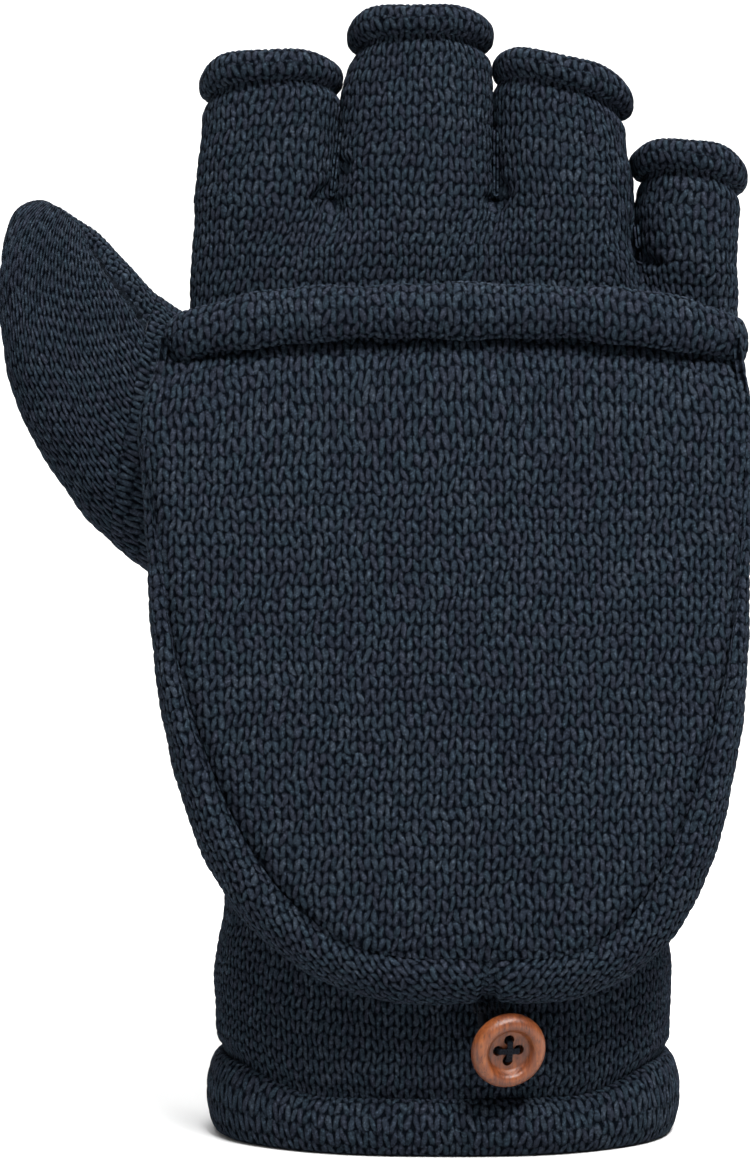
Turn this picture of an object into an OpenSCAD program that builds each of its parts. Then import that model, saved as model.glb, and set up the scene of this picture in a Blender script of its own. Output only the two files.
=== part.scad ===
// Right-hand convertible flip-top mitten: an open-fingered glove with a mitten cap
// folded down over the back of the hand, held by an elastic loop on a wooden button.
// It stands on its cuff. +Z runs up the fingers, the back of the hand faces -Y, the
// thumb is on -X. The origin is the middle of the foot of the cuff.

/* [Fabric] */
// Thickness of the knitted outer fabric
knit_t = 1.5; // [1.2:0.1:1.8]
// Thickness of the fleece lining
fleece_t = 1.2; // [0.8:0.1:1.3]
// Gap left between neighbouring pieces of cloth
gap = 0.15; // [0.1:0.05:0.2]

/* [Cuff] */
// Half width of the cuff's rolled hem
cuff_hem_half_w = 44.8; // [44:0.2:46]
// Half depth of the cuff's rolled hem
cuff_hem_half_d = 27; // [26:0.5:28]
// Height of the cuff's rolled hem at the front
cuff_hem_h = 10.3; // [9:0.1:11]
// How much higher the hem is at the two sides
cuff_hem_rise = 5; // [3:0.5:6]

/* [Cap] */
// Height of the seam that joins the cap to the back of the hand
seam_z = 150; // [148:1:152]
// Distance of that seam in front of the mid plane
seam_y = 19.1; // [19:0.1:20]
// Length of the cap from its seam to its tip
cap_length = 121; // [118:1:122]
// Lean of the folded cap away from the hand
cap_lean = 5.1; // [5:0.1:6]
// Width of the band round the cap, seen from the front
band_w = 9; // [7:0.5:10]
// Thickness of the folded cap at its band seam
cap_edge_t = 11.5; // [10:0.5:13]
// Thickness of the folded cap at its middle
cap_dome_t = 15; // [13:0.5:16]

/* [Button] */
// Diameter of the wooden button
button_d = 14.4; // [13:0.2:16]
// Thickness of the wooden button
button_t = 4; // [3:0.5:5]
// Place of the button on the cuff, along X and Z
button_at = [10.8, 21.7];
// Length of the thread shank behind the button
shank_l = 3.6; // [3:0.2:4]
// Diameter of the elastic cord of the loop
loop_d = 1.6; // [1.4:0.1:2]

/* [Hidden] */

navy = [0.16, 0.19, 0.24];
fleece = [0.12, 0.14, 0.18];
wood = [0.62, 0.34, 0.19];
black = [0.05, 0.06, 0.08];

// Rows across the hand: height, left side, right side, back, palm, squareness
HAND = [
    [13, -45.0, 45.0, -27.2, 27.2, 2.3],
    [30, -45.6, 45.4, -27.4, 27.4, 2.3],
    [45, -43.2, 43.6, -26.0, 26.0, 2.4],
    [60, -43.2, 43.8, -23.4, 23.6, 2.6],
    [80, -45.0, 46.8, -20.8, 22.0, 2.8],
    [100, -47.4, 50.0, -19.2, 20.4, 3.0],
    [118, -49.2, 52.8, -18.2, 18.4, 3.1],
    [135, -50.4, 55.2, -17.4, 15.4, 3.3],
    [150, -50.8, 56.6, -17.0, 13.0, 3.4],
    [162, -50.6, 57.4, -16.6, 11.9, 3.4],
    [173, -50.0, 57.8, -15.9, 10.7, 3.3],
    [184, -49.6, 58.0, -14.6, 9.2, 3.2],
];
// Fingers: middle at the foot, middle at the hem, half width at the foot, half width
// at the hem, height of the foot of the hem, tilt of the hem
FINGERS = [
    [-36.4, -34.2, 13.2, 13.5, 206.6, 3],
    [-5.9, -4.8, 14.9, 14.1, 215.6, 0],
    [24.4, 23.9, 12.9, 12.1, 205.6, -15],
    [48.6, 48.2, 9.3, 10.8, 188.8, -9],
];
stall_half_d = 11.9;
stall_y = -2.7;
stall_squareness = 3.2;
stall_lift = 0.6;
hem_half_h = 2.9;
hem_half_t = 1.6;
// Webs between fingers: place along X, height of the foot, height, lean
WEBS = [
    [-22.0, 184.6, 13, 6],
    [10.2, 184.6, 13, 0],
    [38.2, 174.4, 4, -6],
];
// Rings along the thumb, from the hand to the tip: outer edge and inner edge (X and Z),
// half depth
THUMB = [
    [[-52.8, 104], [-52.8, 161], 11.5],
    [[-66.0, 116.5], [-56.6, 165.5], 12.8],
    [[-77.0, 130], [-62.6, 171.5], 12.6],
    [[-85.0, 145], [-68.0, 177], 12.0],
    [[-88.2, 161], [-73.2, 182], 10.6],
    [[-87.2, 173], [-76.2, 184.8], 8.2],
    [[-84.0, 181.6], [-78.2, 186.4], 4.6],
    [[-81.6, 185.6], [-80.4, 186.6], 0.9],
];
thumb_y = -2.5;
tip_x = 5;
round_from = 30;
tip_power = 3;

function spow(v, e) = sign(v) * pow(abs(v), e);
function mix(a, b, s) = a + (b - a) * s;
function ease(s) = let (c = max(0, min(1, s))) c * c * (3 - 2 * c);
function oval(t, a, b, n) = [a * spow(cos(t), 2 / n), b * spow(sin(t), 2 / n)];

// A solid between two grids of points. Rows run along the piece, columns across it.
module skin(outer, inner, closed = false) {
    rows = len(outer);
    cols = len(outer[0]);
    span = closed ? cols : cols - 1;
    side = rows * cols;
    function id(s, i, j) = s * side + i * cols + j % cols;
    points = concat([for (row = outer) each row], [for (row = inner) each row]);
    face_sets = [
        for (i = [0:rows - 2], j = [0:span - 1]) each [
            [id(0, i, j), id(0, i + 1, j), id(0, i + 1, j + 1)],
            [id(0, i, j), id(0, i + 1, j + 1), id(0, i, j + 1)],
            [id(1, i, j), id(1, i + 1, j + 1), id(1, i + 1, j)],
            [id(1, i, j), id(1, i, j + 1), id(1, i + 1, j + 1)],
        ],
        for (j = [0:span - 1]) each [
            [id(0, 0, j), id(0, 0, j + 1), id(1, 0, j + 1)],
            [id(0, 0, j), id(1, 0, j + 1), id(1, 0, j)],
            [id(0, rows - 1, j), id(1, rows - 1, j + 1), id(0, rows - 1, j + 1)],
            [id(0, rows - 1, j), id(1, rows - 1, j), id(1, rows - 1, j + 1)],
        ],
        if (!closed) for (i = [0:rows - 2]) each [
            [id(0, i, 0), id(1, i + 1, 0), id(0, i + 1, 0)],
            [id(0, i, 0), id(1, i, 0), id(1, i + 1, 0)],
            [id(0, i, cols - 1), id(0, i + 1, cols - 1), id(1, i + 1, cols - 1)],
            [id(0, i, cols - 1), id(1, i + 1, cols - 1), id(1, i, cols - 1)],
        ],
    ];
    polyhedron(points = points, faces = face_sets, convexity = 6);
}

// A solid tube through rings of points, with flat ends
module rod(rings) {
    rows = len(rings);
    cols = len(rings[0]);
    function id(i, j) = i * cols + j % cols;
    polyhedron(
        points = [for (ring = rings) each ring],
        faces = [
            for (i = [0:rows - 2], j = [0:cols - 1]) each [
                [id(i, j), id(i + 1, j), id(i + 1, j + 1)],
                [id(i, j), id(i + 1, j + 1), id(i, j + 1)],
            ],
            [for (j = [0:cols - 1]) id(0, j)],
            [for (j = [cols - 1:-1:0]) id(rows - 1, j)],
        ],
        convexity = 6
    );
}

// A roll of cloth that closes on itself
module hoop(rings) {
    rows = len(rings);
    cols = len(rings[0]);
    function id(i, j) = (i % rows) * cols + j % cols;
    polyhedron(
        points = [for (ring = rings) each ring],
        faces = [
            for (i = [0:rows - 1], j = [0:cols - 1]) each [
                [id(i, j), id(i + 1, j + 1), id(i + 1, j)],
                [id(i, j), id(i, j + 1), id(i + 1, j + 1)],
            ],
        ],
        convexity = 6
    );
}

// The hand's tube. inset is measured in from its outer face.
web_top = 184;
web_drop = 13;
squeeze_from = 150;
function web_line(x) = web_top - web_drop * ease((x - 30.5) / 9);
// Rows above squeeze_from close up, so that the last one lies on the web line
function row_height(z, x) =
    z < squeeze_from
    ? z
    : squeeze_from + (z - squeeze_from) * (web_line(x) - squeeze_from) / (web_top - squeeze_from);
// Top of the cuff's hem, round the oval
function hem_top(t) = cuff_hem_h + cuff_hem_rise * ease((abs(cos(t)) - 0.5) / 0.5);
function hand_point(row, t, inset) =
    let (
        mid = [(row[1] + row[2]) / 2, (row[3] + row[4]) / 2],
        p = oval(t, (row[2] - row[1]) / 2 - inset, (row[4] - row[3]) / 2 - inset, row[5]),
        x = mid[0] + p[0]
    )
    [x, mid[1] + p[1], row[0] == HAND[0][0] ? hem_top(t) + gap : row_height(row[0], x)];
// Half height of the thumb hole at a height up the hand, in degrees round the oval
function thumb_slot(z) = abs(z - 134) < 34 ? 20 * sqrt(1 - pow((z - 134) / 34, 2)) : 0;
function hand_grid(from, to, left_end, inset, steps) = [
    for (row = HAND)
    [
        for (j = [0:steps])
        let (
            cut = thumb_slot(row[0]),
            start = left_end == 0 ? from + cut : from,
            stop = left_end == 1 ? to - cut : to
        )
        hand_point(row, mix(start, stop, j / steps), inset)
    ],
];
seam_angle = 0.08;
module hand_half(front, inset, thick, steps) {
    from = front ? 180 + seam_angle : seam_angle;
    to = front ? 360 - seam_angle : 180 - seam_angle;
    end = front ? 0 : 1;
    skin(hand_grid(from, to, end, inset, steps), hand_grid(from, to, end, inset + thick, steps));
}
module back_panel() { color(navy) hand_half(true, 0, knit_t, 26); }
module palm_panel() { color(navy) hand_half(false, 0, knit_t, 26); }
module back_lining() { color(fleece) hand_half(true, knit_t + gap, fleece_t, 22); }
module palm_lining() { color(fleece) hand_half(false, knit_t + gap, fleece_t, 22); }

// Finger stalls: tubes that stand on the web line and end under their rolled hems
function stall_point(finger, s, t, inset) =
    let (
        a = mix(finger[2], finger[3], ease(s)) - inset,
        p = oval(t, a, stall_half_d - 0.4 * s - inset, mix(stall_squareness, 2.3, s)),
        x = mix(finger[0], finger[1], s) + p[0],
        top = finger[4] - gap + tan(finger[5]) * (x - finger[1])
    )
    [x, stall_y + p[1], mix(web_line(x) + stall_lift, top, s)];
module stall(finger, inset, thick, steps, rows) {
    function grid(d) = [
        for (i = [0:rows])
        [for (j = [0:steps - 1]) stall_point(finger, i / rows, 360 * j / steps, d)],
    ];
    skin(grid(inset), grid(inset + thick), closed = true);
}
module finger_stall(k) { color(navy) stall(FINGERS[k], 0, knit_t, 20, 4); }
module finger_lining(k) { color(fleece) stall(FINGERS[k], knit_t + gap, fleece_t, 16, 2); }
module finger_hem(k) {
    finger = FINGERS[k];
    steps = 24;
    color(navy) hoop([
        for (i = [0:steps - 1])
        [
            for (w = [0:7])
            let (
                t = 360 * i / steps,
                grow = hem_half_t * cos(45 * w + 22.5) - 0.7,
                p = oval(t, finger[3] + grow, stall_half_d - 0.4 + grow, 2.3),
                rise = hem_half_h * (1 + sin(45 * w + 22.5) / cos(22.5)),
                x = finger[1] + p[0]
            )
            [x, stall_y + p[1], finger[4] + rise + tan(finger[5]) * p[0]]
        ],
    ]);
}
// A strip folded into a U between two fingers
module finger_gusset(k) {
    strip_w = 1.1;
    strip_t = 0.4;
    strip_h = WEBS[k][2];
    strip_d = 15;
    color(navy)
        translate([WEBS[k][0], stall_y + strip_d / 2, WEBS[k][1]])
            rotate([90, WEBS[k][3], 0])
                linear_extrude(strip_d)
                    difference() {
                        union() {
                            translate([-strip_w / 2, strip_w / 2])
                                square([strip_w, strip_h]);
                            translate([0, strip_w / 2])
                                circle(d = strip_w, $fn = 24);
                        }
                        translate([-strip_w / 2 + strip_t, strip_w / 2])
                            square([strip_w - 2 * strip_t, strip_h + 1]);
                    }
}

// The cuff's rolled hem, flat underneath
module cuff_hem() {
    steps = 48;
    half_t = 3.2;
    color(navy) hoop([
        for (i = [0:steps - 1])
        [
            for (w = [0:9])
            let (
                t = 360 * i / steps,
                turn = 36 * w,
                grow = half_t * cos(turn) - 1,
                p = oval(t, cuff_hem_half_w + grow, cuff_hem_half_d + grow, 2.3)
            )
            [p[0], p[1], hem_top(t) / 2 * (1 + sin(turn) / sin(72))]
        ],
    ]);
}

// Thumb: oval rings between an outer and an inner edge
thumb_dir = [-0.55, 0.83];
thumb_saddle = 5;
function thumb_point(k, t, inset) =
    let (
        ring = THUMB[k],
        back = k == len(THUMB) - 1 ? inset : 0,
        mid = (ring[0] + ring[1]) / 2 - back * thumb_dir,
        half = (ring[1] - ring[0]) / 2,
        reach = norm(half),
        p = oval(t, max(0.3, reach - inset), max(0.3, ring[2] - inset), 2.2),
        saddle = k == 0 ? thumb_saddle * pow(abs(sin(t)), 3) : 0
    )
    [
        mid[0] + half[0] / reach * p[0] + saddle,
        thumb_y + p[1],
        mid[1] + half[1] / reach * p[0]
    ];
module thumb_part(first, last, from, to, inset, thick, steps, closed = false) {
    function grid(d) = [
        for (i = [first:last])
        [for (j = [0:steps - (closed ? 1 : 0)])
            thumb_point(i, mix(from, to, j / steps), d)],
    ];
    skin(grid(inset), grid(inset + thick), closed = closed);
}
module thumb_back_panel() {
    color(navy) thumb_part(1, 7, 180.8, 359.2, 0, knit_t, 12);
}
module thumb_palm_panel() {
    color(navy) thumb_part(1, 7, 0.8, 179.2, 0, knit_t, 12);
}
module thumb_lining() {
    color(fleece) thumb_part(1, 5, 0, 360, knit_t + gap, fleece_t, 16, closed = true);
}
module thumb_gusset() {
    color(navy) thumb_part(0, 1, 0, 360, 0, knit_t, 20, closed = true);
}

// Cap, in its own axes: u runs down from the seam, v away from the hand
function cap_point(x, u, v) = [
    x,
    -seam_y - u * sin(cap_lean) - v * cos(cap_lean),
    seam_z - u * cos(cap_lean) + v * sin(cap_lean)
];
// Outline, turn 0 where the round end starts and 90 at the tip
function cap_side(right, u) =
    right ? 58.5 - 0.02 * u - ease((12 - u) / 14) : -59.2 + 0.06 * u + 2.5 * ease((12 - u) / 14);
function cap_edge(right, s) =
    s < 0
    ? [cap_side(right, round_from + s), round_from + s]
    : let (
        u = round_from + (cap_length - round_from) * pow(sin(s), 2 / tip_power),
        f = pow(cos(s), 2 / tip_power)
    )
    [tip_x + (cap_side(right, u) - tip_x) * f, u];
// The same outline moved inwards by d
function cap_inset(right, s, d) =
    let (
        h = s < 0 ? 0.5 : 0.25,
        top = s > 89 ? 89.9 : s + h,
        a = cap_edge(right, s - h),
        b = cap_edge(right, top),
        dir = (b - a) / norm(b - a),
        inward = (right ? 1 : -1) * [-dir[1], dir[0]]
    )
    cap_edge(right, s) + inward * d;
function band_inset(u) = 1 + (band_w - 1) * ease((u - 10) / 100);
function band_height(u) = cap_edge_t - 1.5 * ease((u - 70) / 50) - 1.5 * ease((20 - u) / 20);
turns = [-27, -18, -9, 0, 8, 16, 25, 35, 45, 55, 65, 74, 82, 87];

module cap_band(right, first) {
    function grid(d) = [
        for (i = [first:len(turns)])
        let (
            s = i == len(turns) ? 89.6 : turns[i],
            u = cap_edge(right, s)[1],
            w = band_inset(u),
            h = band_height(u)
        )
        [
            for (j = [0:4])
            let (
                k = right ? j : 4 - j,
                turn = 90 * k / 4,
                p = cap_inset(right, s, w * (1 - cos(turn)) + d * cos(turn))
            )
            cap_point(p[0], p[1], max(0, h * sin(turn) - d * sin(turn)))
        ],
    ];
    skin(grid(0), grid(knit_t));
}
module cap_band_left() { color(navy) cap_band(false, 2); }
module cap_band_right() { color(navy) cap_band(true, 0); }

// A panel that fills the outline: columns from one side to the other
function panel_row(s, d, c) =
    let (l = cap_inset(false, s, d), r = cap_inset(true, s, d))
    [mix(l[0], r[0], c), mix(l[1], r[1], c)];
module cap_back_sheet(d, v_from, v_to, steps) {
    function grid(v) = [
        for (s = turns)
        [for (j = [0:steps]) let (p = panel_row(s, d, j / steps)) cap_point(p[0], p[1], v)],
    ];
    skin(grid(v_from), grid(v_to));
}
module cap_back_panel() {
    color(navy) cap_back_sheet(gap, -knit_t - gap, -gap, 8);
}
module cap_back_lining() {
    color(fleece) cap_back_sheet(knit_t + 2 * gap, gap, gap + fleece_t, 8);
}

function mouth_arch(c) = 5 * pow(abs(2 * c - 1), 3);
mouth_u = -3.4;
function front_point(s, d, c, drop) =
    let (
        base = panel_row(s, 0, c),
        w = band_inset(base[1]) + 3 * gap + d,
        p = panel_row(s, w, c),
        near = 1 - ease((s + 27) / 20),
        u = mix(p[1], mouth_u + mouth_arch(c), near),
        edge = band_height(p[1]),
        crown = cap_dome_t - 3.5 * ease((p[1] - 60) / 60) - 1.5 * ease((25 - p[1]) / 25),
        v = mix(edge, crown, 1 - pow(abs(2 * c - 1), 2.4))
    )
    cap_point(p[0], u, v - drop);
module cap_front_sheet(d, drop, thick, steps) {
    function grid(h) = [
        for (s = turns)
        [for (j = [0:steps]) front_point(s, d, 1 - j / steps, h)],
    ];
    skin(grid(drop), grid(drop + thick));
}
module cap_front_panel() { color(navy) cap_front_sheet(0, 0, knit_t, 12); }
module cap_front_lining() {
    color(fleece) cap_front_sheet(1, knit_t + gap, fleece_t, 10);
}
// The rolled hem of the cap's mouth
module cap_mouth_hem() {
    steps = 22;
    color(navy) rod([
        for (i = [0:steps])
        let (
            t = mix(12, 168, i / steps),
            x = 1.9 + 53.8 * spow(cos(t), 0.62),
            c = (x + 54.6) / 112.4,
            v = 0.8 + 11.2 * spow(sin(t), 0.62),
            u = mouth_u - 5.2 + mouth_arch(c),
            taper = 1 - 0.2 * pow(abs(2 * c - 1), 8)
        )
        [
            for (w = [0:7])
            let (turn = 45 * w + 22.5, across = 3.2 * taper * cos(turn))
            cap_point(
                x + across * 0.7 * spow(2 * c - 1, 5),
                u + 4.9 * taper * sin(turn),
                v + across * (1 - 0.6 * pow(abs(2 * c - 1), 5))
            )
        ],
    ]);
}

// Seam roll on the back of the hand that the cap hangs from
module cap_seam_piping() {
    piping_d = 2.6;
    color(navy)
        translate([-40, -seam_y, seam_z])
            rotate([0, 90, 0])
                cylinder(d = piping_d, h = 84, $fn = 24);
}

// Button: a turned wooden disc with a raised rim and four holes
button_y = -27.5 - shank_l;
button_tilt = [14, 0, 16];
module at_button() {
    translate([button_at[0], button_y, button_at[1]])
        rotate(button_tilt)
            rotate([90, 0, 0])
                children();
}
hole_d = 1.7;
hole_out = 2;
module button() {
    r = button_d / 2;
    color(wood) at_button()
        difference() {
            rotate_extrude($fn = 48)
                polygon([
                    [0, 0], [r - 1.6, 0], [r - 0.6, 0.5], [r, 1.5], [r, button_t - 1.6],
                    [r - 0.5, button_t - 0.5], [r - 1.5, button_t], [r - 2.4, button_t - 0.2],
                    [r - 3.1, button_t - 1], [0, button_t - 1.4],
                ]);
            for (turn = [0:90:270])
                rotate(turn)
                    translate([hole_out, 0, -1])
                        cylinder(d = hole_d, h = button_t + 2, $fn = 24);
        }
}
module button_thread() {
    strand_d = 1.1;
    bar_z = button_t - 0.75;
    color(black) at_button() {
        for (turn = [0:90:270])
            rotate(turn)
                translate([hole_out, 0, 0.1])
                    cylinder(d = strand_d, h = bar_z - 0.1, $fn = 16);
        for (turn = [0, 90])
            rotate(turn)
                translate([-hole_out - strand_d / 2, -strand_d / 2, bar_z])
                    cube([2 * hole_out + strand_d, strand_d, 0.7]);
    }
}
module thread_shank() {
    color(black)
        translate([button_at[0], -27.5, button_at[1]])
            rotate([90, 0, 0])
                cylinder(d = 2.4, h = shank_l - 1.6, $fn = 24);
}

// The elastic loop: it leaves the cap's tip, passes round the shank and comes back
LOOP = [
    [6.4, -30.6, 28.2], [6.6, -30.1, 25], [7.2, -29.6, 22.4], [8.2, -29.3, 20.2],
    [9.6, -29.2, 18.9], [11.2, -29.2, 18.8], [12.7, -29.3, 19.9], [13.2, -29.5, 21.8],
    [12.6, -29.7, 24], [11.2, -30.0, 26], [9.8, -30.6, 28.2],
];
module button_loop() {
    last = len(LOOP) - 1;
    color(black) rod([
        for (i = [0:last])
        let (
            a = LOOP[max(0, i - 1)],
            b = LOOP[min(last, i + 1)],
            dir = (b - a) / norm(b - a),
            out = [0, -1, 0],
            side = cross(dir, out) / norm(cross(dir, out)),
            up = cross(side, dir)
        )
        [for (w = [0:7]) LOOP[i] + loop_d / 2 * (cos(45 * w) * side - sin(45 * w) * up)],
    ]);
}
// Stitched stay that holds both ends of the loop in the tip seam
module loop_stay() {
    color(black) translate([4.6, -31.8, 28.5]) cube([7, 1.9, 0.9]);
}

back_panel();
palm_panel();
back_lining();
palm_lining();
finger_stall(0);  // index_stall
finger_stall(1);  // middle_stall
finger_stall(2);  // ring_stall
finger_stall(3);  // little_stall
finger_hem(0);  // index_hem
finger_hem(1);  // middle_hem
finger_hem(2);  // ring_hem
finger_hem(3);  // little_hem
finger_lining(0);  // index_lining
finger_lining(1);  // middle_lining
finger_lining(2);  // ring_lining
finger_lining(3);  // little_lining
finger_gusset(0);  // index_middle_gusset
finger_gusset(1);  // middle_ring_gusset
finger_gusset(2);  // ring_little_gusset
cuff_hem();
thumb_gusset();
thumb_back_panel();
thumb_palm_panel();
thumb_lining();
cap_seam_piping();
cap_back_panel();
cap_back_lining();
cap_band_left();
cap_band_right();
cap_front_panel();
cap_front_lining();
cap_mouth_hem();
button();
button_thread();
thread_shank();
button_loop();
loop_stay();
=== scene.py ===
"""Looks of the flip-top mitten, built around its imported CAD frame.

Lengths are in millimetres until a mesh is made. +Z runs up the fingers, the back of the
hand faces -Y and the thumb is on -X. Knit surfaces carry a UV map that counts wales
across and courses along, which both the relief in the mesh and the material follow.
"""

import math

import bmesh
import bpy
import numpy as np
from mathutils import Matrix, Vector


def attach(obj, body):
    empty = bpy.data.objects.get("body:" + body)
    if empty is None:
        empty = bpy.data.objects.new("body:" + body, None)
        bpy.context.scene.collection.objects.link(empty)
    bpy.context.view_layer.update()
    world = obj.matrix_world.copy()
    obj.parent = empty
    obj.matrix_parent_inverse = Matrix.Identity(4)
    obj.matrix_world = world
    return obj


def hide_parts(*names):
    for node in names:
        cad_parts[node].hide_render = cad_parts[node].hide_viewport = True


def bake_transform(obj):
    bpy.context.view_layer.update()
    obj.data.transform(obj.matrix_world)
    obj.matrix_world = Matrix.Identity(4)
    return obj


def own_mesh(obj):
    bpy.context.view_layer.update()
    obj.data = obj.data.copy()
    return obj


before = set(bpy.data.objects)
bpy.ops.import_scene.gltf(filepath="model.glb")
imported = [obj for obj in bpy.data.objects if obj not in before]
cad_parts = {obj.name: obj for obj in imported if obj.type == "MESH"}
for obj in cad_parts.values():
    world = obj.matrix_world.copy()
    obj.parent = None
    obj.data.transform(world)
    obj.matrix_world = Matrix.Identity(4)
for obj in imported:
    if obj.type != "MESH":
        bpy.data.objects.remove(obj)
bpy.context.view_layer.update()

MM = 0.001
WALE = 2.6
COURSE = 2.4
KNIT_T = 1.5
FLEECE_T = 1.2
GAP = 0.15
RELIEF = 0.50

# Points to a wale and to a course of the hand, and to a course round a rolled hem
HAND_STEP = 6
ROW_STEP = 5
HEM_STEP = 6

# Grooves and seams in the cloth: depth, reach to each side
SIDE_SEAM = (0.6, 1.1)
CUFF_NECK = (1.7, 2.4)
FINGER_NECK = (1.2, 1.8)
CROTCH_CREASE = (1.3, 1.0)
THUMB_SEAM = (0.55, 1.1)
THUMB_CREASE = (2.2, 2.1)
MOUTH_TUCK = (4.4, 5.0)
BAND_EDGE = (0.6, 1.0)
BAND_TIP_SEAM = (2.6, 1.5)

# Rows across the hand: height, left side, right side, back, palm, squareness
HAND = np.array([
    [13, -45.0, 45.0, -27.2, 27.2, 2.3],
    [30, -45.6, 45.4, -27.4, 27.4, 2.3],
    [45, -43.2, 43.6, -26.0, 26.0, 2.4],
    [60, -43.2, 43.8, -23.4, 23.6, 2.6],
    [80, -45.0, 46.8, -20.8, 22.0, 2.8],
    [100, -47.4, 50.0, -19.2, 20.4, 3.0],
    [118, -49.2, 52.8, -18.2, 18.4, 3.1],
    [135, -50.4, 55.2, -17.4, 15.4, 3.3],
    [150, -50.8, 56.6, -17.0, 13.0, 3.4],
    [162, -50.6, 57.4, -16.6, 11.9, 3.4],
    [173, -50.0, 57.8, -15.9, 10.7, 3.3],
    [184, -49.6, 58.0, -14.6, 9.2, 3.2],
])
HAND_FOOT = 10.45
HAND_TOP = 184.0
HAND_COURSES = round((HAND_TOP - HAND_FOOT) / COURSE)
# Thumb hole: middle height, half height, degrees it takes from each half at its middle
SLOT = (132.3, 27.5, 17)
CUFF_HALF_W = 44.8
CUFF_HALF_D = 27.0
CUFF_SQUARE = 2.3
POINT_GAP = 0.42
HEM_H = 10.3
HEM_RISE = 5.0

# Fingers: middle at the foot, middle at the hem, half width at the foot, half width at
# the hem, height of the foot of the hem, tilt of the hem
FINGER_NAMES = ["index", "middle", "ring", "little"]
FINGERS = [
    [-36.4, -34.3, 13.2, 12.9, 206.6, 3],
    [-5.9, -4.7, 14.9, 13.2, 215.6, 0],
    [24.4, 23.6, 12.9, 12.6, 205.6, -15],
    [48.6, 48.6, 9.3, 10.2, 188.8, -9],
]
STALL_HALF_D = 11.9
STALL_Y = -2.7
STALL_SQUARE = 2.3
SIDE_TURN = 24.0
# How much wider than its CAD tube each stall is on its left and its right, to touch the next
# finger, and how far up that goes as a share of its length
STALL_TOUCHES = [
    [(0.0, 0.0), (1.25, 0.82)],
    [(1.2, 0.66), (1.3, 0.8)],
    [(1.5, 1.0), (0.95, 0.5)],
    [(0.95, 0.5), (0.0, 0.0)],
]
HEM_HALF_D = STALL_HALF_D - 0.4
HEM_SQUARE = 2.3
HEM_HALF_H = 2.9
# Webs between fingers: name, place along X, height of the foot, height, lean
WEBS = [
    ["index_middle_gusset", -22.0, 184.6, 13, 6],
    ["middle_ring_gusset", 10.2, 184.6, 13, 0],
    ["ring_little_gusset", 38.2, 174.4, 4, -6],
]
WEB_HALF_W = 0.5
WEB_HALF_D = 5.5
WEB_T = 0.35

# Creases down from the crotches, as places (X, Z) on the hand's front
CREASES = [
    [(-19.4, 191.0), (-20.4, 187.6), (-22.8, 185.8), (-25.2, 183.9), (-24.2, 182.4), (-21.4, 182.6)],
    [(9.9, 191.0), (10.4, 187.8), (12.2, 185.4), (11.2, 183.2), (9.0, 183.6)],
    [(37.6, 180.0), (36.9, 175.6), (38.6, 172.6), (41.4, 170.9)],
]

# Rings along the thumb: outer edge (X, Z), inner edge (X, Z), half depth
THUMB = np.array([
    [-47.4, 103.0, -50.0, 161.6, 11.5],
    [-66.0, 116.5, -56.6, 165.5, 12.8],
    [-77.0, 130, -62.6, 171.5, 12.6],
    [-85.0, 145, -68.0, 177, 12.0],
    [-88.2, 161, -72.6, 180.4, 10.6],
    [-87.9, 172.6, -76.0, 182.7, 8.4],
    [-86.2, 180.2, -78.0, 184.0, 5.8],
    [-84.2, 183.7, -79.6, 185.0, 3.4],
])
THUMB_Y = -2.5
THUMB_SQUARE = 2.2
THUMB_WALE = 2.4
THUMB_COURSE = 2.1
THUMB_ROWS = 150
THUMB_COLS = 190
# Where along the rings the thumb's end starts to round off
THUMB_ROUND_FROM = 6.1
THUMB_ROUND_LONG = 0.9

# Cap: seam on the hand, lean, outline and thickness
SEAM_Y = 19.1
SEAM_Z = 150.0
CAP_LEAN = math.radians(5.1)
CAP_LENGTH = 121.0
ROUND_FROM = 30.0
TIP_X = 7.5
BAND_W = 9.0
EDGE_T = 11.5
DOME_T = 15.0
MOUTH_U = -3.4
# Line of the mouth's hem: middle and half width across, foot and height out, squareness
MOUTH_X = (1.9, 53.8)
MOUTH_V = (0.8, 11.2)
MOUTH_SQUARE = 2 / 0.62


# ---------------------------------------------------------------- curves and grids

def spow(value, power):
    return np.sign(value) * np.abs(value) ** power


def mix(a, b, s):
    return a + (b - a) * s


def ease(s):
    c = np.clip(s, 0, 1)
    return c * c * (3 - 2 * c)


def cos_deg(turn):
    return np.cos(np.radians(turn))


def sin_deg(turn):
    return np.sin(np.radians(turn))


def groove(distance, shape):
    """Depth of a soft groove at a distance from its middle."""
    depth, reach = shape
    return depth * np.exp(-(distance / reach) ** 2)


def oval(turn, a, b, square):
    return a * spow(cos_deg(turn), 2 / square), b * spow(sin_deg(turn), 2 / square)


def run_length(*coordinates):
    """Length along a polyline up to each of its points."""
    steps = np.linalg.norm(np.diff(np.stack(coordinates, axis=1), axis=0), axis=1)
    return np.concatenate([[0], np.cumsum(steps)])


def equal_turns(turns, x, y, count):
    """Turns that cut a curve, given at fine turns, into count equal lengths."""
    run = run_length(x, y)
    return np.interp(np.linspace(0, run[-1], count + 1), run, turns)


def wale_turns(a, b, square, detail):
    """Turns round an oval that cut it into whole wales, HAND_STEP to each, as a column."""
    fine = np.linspace(0, 360, detail)
    x, y = oval(fine, a, b, square)
    wales = round(run_length(x, y)[-1] / WALE)
    return equal_turns(fine, x, y, wales * HAND_STEP)[:-1][:, None]


def spline(a, b, c, d, s):
    """Catmull-Rom curve from b to c, at s from 0 to 1."""
    square, cube = 2 * a - 5 * b + 4 * c - d, 3 * b - a - 3 * c + d
    return 0.5 * (2 * b + (c - a) * s + square * s ** 2 + cube * s ** 3)


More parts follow.
